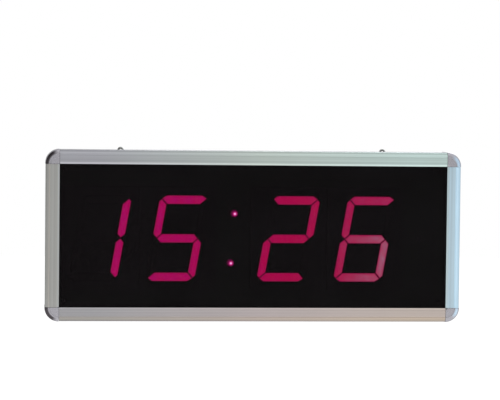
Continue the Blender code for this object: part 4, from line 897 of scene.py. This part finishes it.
def eased(name, width, segments):
    """A finer copy of a solid: doubles merged, flat faces joined, and sharp edges rounded."""
    mesh = nodes[name].data.copy()
    bm = bmesh.new()
    bm.from_mesh(mesh)
    bmesh.ops.remove_doubles(bm, verts=bm.verts, dist=1e-6)
    bmesh.ops.dissolve_limit(bm, angle_limit=math.radians(1), verts=bm.verts, edges=bm.edges)
    edges = [edge for edge in bm.edges if edge.calc_face_angle(0) > math.radians(35)]
    bmesh.ops.bevel(bm, geom=edges, offset=width, segments=segments, profile=0.5, affect="EDGES",
                    clamp_overlap=True)
    bm.to_mesh(mesh)
    bm.free()
    mesh.shade_smooth()
    mesh.set_sharp_from_angle(angle=math.radians(35))
    return mesh


ROCKER_PIVOT_Y, ROCKER_TILT, ROCKER_HALF = -0.0020, math.radians(8), 0.0076
ROCKER_SHARES, ROCKER_OUT = (-1, -0.5, 0, 0.5, 1), (0.0053, 0.004325, 0.0040, 0.004325, 0.0053)
MARK_BELOW, MARK_ABOVE, MARK_PLACE = -0.00004, 0.00005, 0.0046
BAR_MARK_W, BAR_MARK_H, RING_MARK_R, RING_MARK_W = 0.00028, 0.0014, 0.0013, 0.00025


def rocker_mark(across, along, lift):
    """Places on the rocker's top: the dish's height at that point plus the lift, turned with the
    rocker about its pins."""
    out = np.interp(along / ROCKER_HALF, ROCKER_SHARES, ROCKER_OUT) + lift
    cos, sin = math.cos(ROCKER_TILT), math.sin(ROCKER_TILT)
    return np.stack([ROCKER_PLACE[0] + across, ROCKER_PIVOT_Y + out * cos - along * sin,
                     ROCKER_PLACE[1] + out * sin + along * cos], -1)


def build_marks():
    """A section of four corners, half a line's width either side and just below and above the dish,
    carried along a straight run for the bar and round a circle for the ring."""
    white = plain_finish("white pad print", (0.62, 0.62, 0.60), (0.72, 0.72, 0.70), 0.5, relief=0.05)
    side = np.array([[-1, -1, 1, 1]])
    lift = np.array([[MARK_BELOW, MARK_ABOVE, MARK_ABOVE, MARK_BELOW]])
    share = np.linspace(-1, 1, 9)[:, None]
    bar = rocker_mark(BAR_MARK_W * side + 0 * share, MARK_PLACE + BAR_MARK_H * share + 0 * side,
                      lift + 0 * share)
    angle = np.linspace(0, 2 * math.pi, 41)[:, None]
    radius = RING_MARK_R + RING_MARK_W * side
    ring = rocker_mark(radius * np.cos(angle), -MARK_PLACE + radius * np.sin(angle), lift + 0 * angle)
    for name, rings, capped in (("on", bar, True), ("off", ring, False)):
        add_piece(f"rocker_mark_{name}", lofted("mark", rings, capped, 40), white, "power_rocker",
                  "black_plastic")


def build_rocker():
    """The body and the rocker are finer copies of their solids; the marks ride on the rocker."""
    add_piece("rocker_bezel_body", eased("rocker_body", 0.0003, 3), black, "housing", "black_plastic",
              "rocker_body")
    gloss = plain_finish("rocker moulding", (0.010, 0.010, 0.011), (0.014, 0.014, 0.015), 0.26,
                         cycles=1200, relief=0.05)
    add_piece("power_rocker_moulded", eased("power_rocker", 0.00025, 3), gloss, "power_rocker",
              "black_plastic", "power_rocker")
    build_marks()


build_rocker()

# ---- hangers ------------------------------------------------------------------------------------
# Two steel straps under the hanger screws, rolled over at the top round a wire ring bent to a rounded
# triangle.  The rings swing up to hang the timer, and fold down behind it.

RING_WIRE, RING_SIDE, RING_BENDS = 0.00125, 0.01443, (0.0014, 0.0014, 0.00255)
RING_TIP_ABOVE = 0.0032
ROLL_R, STRAP_W, STRAP_FOOT, STRAP_HOLE_R = 0.00255, 0.0080, 0.0832, 0.0016
# The strap's side view shrinks near its two ends: (place across it, how much).
STRAP_ENDS = ((-1.0, 0.00018), (-0.985, 0.00006), (-0.95, 0.0), (0.95, 0.0), (0.985, 0.00006),
              (1.0, 0.00018))
PIVOT = (2 * SEAT + STRAP_T + RING_WIRE,
         FRAME_H / 2 + RING_TIP_ABOVE + RING_BENDS[2] - RING_WIRE - RING_SIDE / 2 * math.sqrt(3))


def ring_mesh(x):
    """A circle carried along a flat loop: three arcs whose centres lie on the triangle's bisectors
    at the bend's radius over the sine of half the corner, joined by straight runs."""
    half = RING_SIDE / 2
    corners = ((-half, 0, 30, 150), (half, 0, 150, 270), (0, half * math.sqrt(3), 270, 30))
    path, out = [], []
    for (corner_x, corner_z, inwards, start), bend in zip(corners, RING_BENDS):
        reach, angle = bend / math.sin(math.radians(30)), math.radians(inwards)
        centre = (corner_x + reach * math.cos(angle), corner_z + reach * math.sin(angle))
        path.append(arc_of(centre, (bend, bend), start, start + 120, 13))
        out.append(arc_of((0, 0), (1, 1), start, start + 120, 13))
    path, out = np.concatenate(path)[:, None], np.concatenate(out)[:, None]
    around = np.linspace(0, 2 * math.pi, 20, endpoint=False)[None, :, None]
    flat = path + out * np.cos(around) * RING_WIRE
    deep = PIVOT[0] + RING_WIRE * np.sin(around[..., 0]) + 0 * flat[..., 0]
    rings = np.stack([x + flat[..., 0], deep, PIVOT[1] + flat[..., 1]], -1)
    return lofted("ring", np.concatenate([rings, rings[:1]]), False, 60)


def drilled(mesh, cutter):
    """The mesh less the cutter, by an exact boolean."""
    body, drill = bpy.data.objects.new("body", mesh), bpy.data.objects.new("drill", cutter)
    for item in (body, drill):
        bpy.context.scene.collection.objects.link(item)
    boolean = body.modifiers.new("drill", "BOOLEAN")
    boolean.object, boolean.operation, boolean.solver = drill, "DIFFERENCE", "EXACT"
    result = bpy.data.meshes.new_from_object(body.evaluated_get(bpy.context.evaluated_depsgraph_get()))
    for item in (body, drill):
        bpy.data.objects.remove(item)
    return tidied(result, 32)


def strap_mesh(x):
    """Side view carried across the strap's width, a little smaller at the two ends: from the foot up,
    round the outside of the roll, back along its inside and down."""
    foot = STRAP_FOOT - PIVOT[1]
    inner = ROLL_R - STRAP_T
    outline = np.concatenate([[(-ROLL_R, foot)], arc_of((0, 0), (ROLL_R, ROLL_R), 180, -60, 36),
                              arc_of((0, 0), (inner, inner), -60, 180, 36), [(-inner, foot)]])
    rings = []
    for share, inset in STRAP_ENDS:
        side = shrunk(outline, inset)
        rings.append(np.column_stack([np.full(len(side), x + share * STRAP_W / 2),
                                      PIVOT[0] + side[:, 0], PIVOT[1] + side[:, 1]]))
    ahead, behind = -0.001, 0.003
    hole = turned_piece([(POLE_R, ahead), (STRAP_HOLE_R, ahead), (STRAP_HOLE_R, behind), (POLE_R, behind)],
                        (x, HANGER_SCREW_Z), 32)
    return drilled(lofted("strap", np.array(rings), True, 32), hole)


def build_hangers():
    """A strap and its ring on each side; the strap stays on the housing and the ring swings."""
    dull = plain_finish("dulled zinc wire", (0.24, 0.25, 0.24), (0.34, 0.34, 0.33), 0.38, 1.0, cycles=900)
    for side, sign in (("left", -1), ("right", 1)):
        add_piece(f"hanger_strap_{side}_rolled", strap_mesh(sign * HANGER_X), zinc, "housing",
                  "zinc_plated_steel", f"hanger_strap_{side}")
        add_piece(f"hanger_ring_{side}_bent", ring_mesh(sign * HANGER_X), dull, f"hanger_ring_{side}",
                  "zinc_plated_steel", f"hanger_ring_{side}")


build_hangers()

# ---- studio -------------------------------------------------------------------------------------
# Pale floor, soft lamps with faint tints, and the camera at the photograph's angle.


def lamp(name, place, aim, width, height, power, tint, mirrored=True):
    """A soft box that looks at a point."""
    data = bpy.data.lights.new(name, "AREA")
    data.shape = "RECTANGLE"
    data.size, data.size_y, data.energy, data.color = width, height, power, tint
    item = bpy.data.objects.new(name, data)
    item.location = place
    item.rotation_euler = (Vector(aim) - Vector(place)).to_track_quat("-Z", "Y").to_euler()
    item.visible_glossy = mirrored
    bpy.context.scene.collection.objects.link(item)


lamp("key soft box", (-1.3, -1.9, 1.6), (0, 0, 0), 1.4, 1.0, 30, (1.0, 0.99, 0.98), False)
lamp("right soft box", (1.7, -0.9, 0.3), (0.1, 0, 0), 1.0, 1.4, 9, (0.80, 0.90, 1.0), False)
lamp("rear soft box", (0.6, 2.0, 1.2), (0, 0, 0), 1.4, 1.0, 26, (1.0, 1.0, 1.0))

FLOOR_HALF, FLOOR_Z = 6, -0.45


def build_floor():
    """A flat square that keeps the object's shadow, nearly white to the camera and in reflections."""
    mesh = bpy.data.meshes.new("floor")
    corners = [(x * FLOOR_HALF, y * FLOOR_HALF, FLOOR_Z) for x, y in ((-1, -1), (1, -1), (1, 1), (-1, 1))]
    mesh.from_pydata(corners, [], [(0, 1, 2, 3)])
    floor = bpy.data.objects.new("floor", mesh)
    bpy.context.scene.collection.objects.link(floor)
    material = bpy.data.materials.new("pale floor")
    material.use_nodes = True
    tree = material.node_tree
    tree.nodes.clear()
    made, join = tree.nodes.new, tree.links.new
    path, out = made("ShaderNodeLightPath"), made("ShaderNodeOutputMaterial")
    matt, shade = made("ShaderNodeBsdfDiffuse"), made("ShaderNodeBsdfDiffuse")
    bright = made("ShaderNodeEmission")
    matt.inputs["Color"].default_value = (0.80, 0.80, 0.80, 1)
    shade.inputs["Color"].default_value = (0.30, 0.30, 0.30, 1)
    bright.inputs["Color"].default_value = (1, 1, 1, 1)
    bright.inputs["Strength"].default_value = 0.9
    both, pick, seen = made("ShaderNodeAddShader"), made("ShaderNodeMixShader"), made("ShaderNodeMath")
    seen.operation = "MAXIMUM"
    join(path.outputs["Is Camera Ray"], seen.inputs[0])
    join(path.outputs["Is Glossy Ray"], seen.inputs[1])
    join(shade.outputs[0], both.inputs[0])
    join(bright.outputs[0], both.inputs[1])
    join(seen.outputs[0], pick.inputs[0])
    join(matt.outputs[0], pick.inputs[1])
    join(both.outputs[0], pick.inputs[2])
    join(pick.outputs[0], out.inputs["Surface"])
    mesh.materials.append(material)


build_floor()

# The room's shade towards the negative and the positive end of each axis.
ROOM = {"X": ((0.46, 0.45, 0.44), (0.95, 1.05, 1.15)), "Y": (0.72, 1.0), "Z": (0.80, 1.20)}


def build_world():
    """White where the camera looks.  In reflections, a soft room: each side's shade is weighted by
    the square of the direction's part towards it, and the two left diagonals are darker."""
    world = bpy.data.worlds.new("studio")
    bpy.context.scene.world = world
    world.use_nodes = True
    tree = world.node_tree
    tree.nodes.clear()
    made, join = tree.nodes.new, tree.links.new
    place, parts = made("ShaderNodeTexCoord"), made("ShaderNodeSeparateXYZ")
    join(place.outputs["Generated"], parts.inputs[0])

    def number(operation, first, second):
        """Output of a node that works on two numbers or sockets."""
        node = made("ShaderNodeMath")
        node.operation = operation
        feed(tree, node.inputs[0], first)
        feed(tree, node.inputs[1], second)
        return node.outputs[0]

    total = None
    squares = {}
    for axis, (low, high) in ROOM.items():
        low, high = [value if hasattr(value, "__len__") else (value,) * 3 for value in (low, high)]
        side = made("ShaderNodeMix")
        side.data_type = "RGBA"
        side.inputs["A"].default_value = (*low, 1)
        side.inputs["B"].default_value = (*high, 1)
        join(number("GREATER_THAN", parts.outputs[axis], 0.0), side.inputs["Factor"])
        squares[axis] = number("MULTIPLY", parts.outputs[axis], parts.outputs[axis])
        part = made("ShaderNodeVectorMath")
        part.operation = "SCALE"
        join(side.outputs["Result"], part.inputs[0])
        join(squares[axis], part.inputs["Scale"])
        if total is None:
            total = part.outputs[0]
        else:
            both = made("ShaderNodeVectorMath")
            join(total, both.inputs[0])
            join(part.outputs[0], both.inputs[1])
            total = both.outputs[0]
    diagonal = number("MULTIPLY", number("MULTIPLY", squares["X"], squares["Z"]), 4.0)
    left = number("LESS_THAN", parts.outputs["X"], 0.0)
    kept = number("SUBTRACT", 1.0, number("MULTIPLY", diagonal, left))
    room = made("ShaderNodeVectorMath")
    room.operation = "SCALE"
    join(total, room.inputs[0])
    join(kept, room.inputs["Scale"])

    path, out = made("ShaderNodeLightPath"), made("ShaderNodeOutputWorld")
    seen, soft, reflected = (made("ShaderNodeBackground") for _ in range(3))
    seen.inputs["Color"].default_value = (1, 1, 1, 1)
    soft.inputs["Color"].default_value = (1, 1, 1, 1)
    soft.inputs["Strength"].default_value = 0.55
    join(room.outputs[0], reflected.inputs["Color"])
    first, second = made("ShaderNodeMixShader"), made("ShaderNodeMixShader")
    join(path.outputs["Is Glossy Ray"], first.inputs[0])
    join(soft.outputs[0], first.inputs[1])
    join(reflected.outputs[0], first.inputs[2])
    join(number("MAXIMUM", path.outputs["Is Camera Ray"], path.outputs["Is Transmission Ray"]),
         second.inputs[0])
    join(first.outputs[0], second.inputs[1])
    join(seen.outputs[0], second.inputs[2])
    join(second.outputs[0], out.inputs["Surface"])


build_world()

PHOTO_W, SENSOR_W = 500, 36.0
CAMERA_PLACE = (-0.25693, -2.67685, 0.16111)


def build_camera():
    """Camera solved from the frame's four corners in the photograph, with its focal length in the
    photograph's pixels and its turns in radians."""
    yaw, pitch, roll, focal = 0.0949, 0.0443, 0.0107, 2231.8
    ahead = Vector((math.sin(yaw) * math.cos(pitch), math.cos(yaw) * math.cos(pitch), -math.sin(pitch)))
    right = Vector((math.cos(yaw), -math.sin(yaw), 0))
    up = right.cross(ahead)
    turned_right = right * math.cos(roll) + up * math.sin(roll)
    turned_up = up * math.cos(roll) - right * math.sin(roll)
    data = bpy.data.cameras.new("camera")
    data.sensor_width = SENSOR_W
    data.lens = focal / PHOTO_W * SENSOR_W
    camera = bpy.data.objects.new("camera", data)
    turn = Matrix((turned_right, turned_up, -ahead)).transposed()
    camera.matrix_world = Matrix.Translation(CAMERA_PLACE) @ turn.to_4x4()
    bpy.context.scene.collection.objects.link(camera)
    bpy.context.scene.camera = camera


build_camera()
bpy.context.scene.view_settings.view_transform = "Standard"
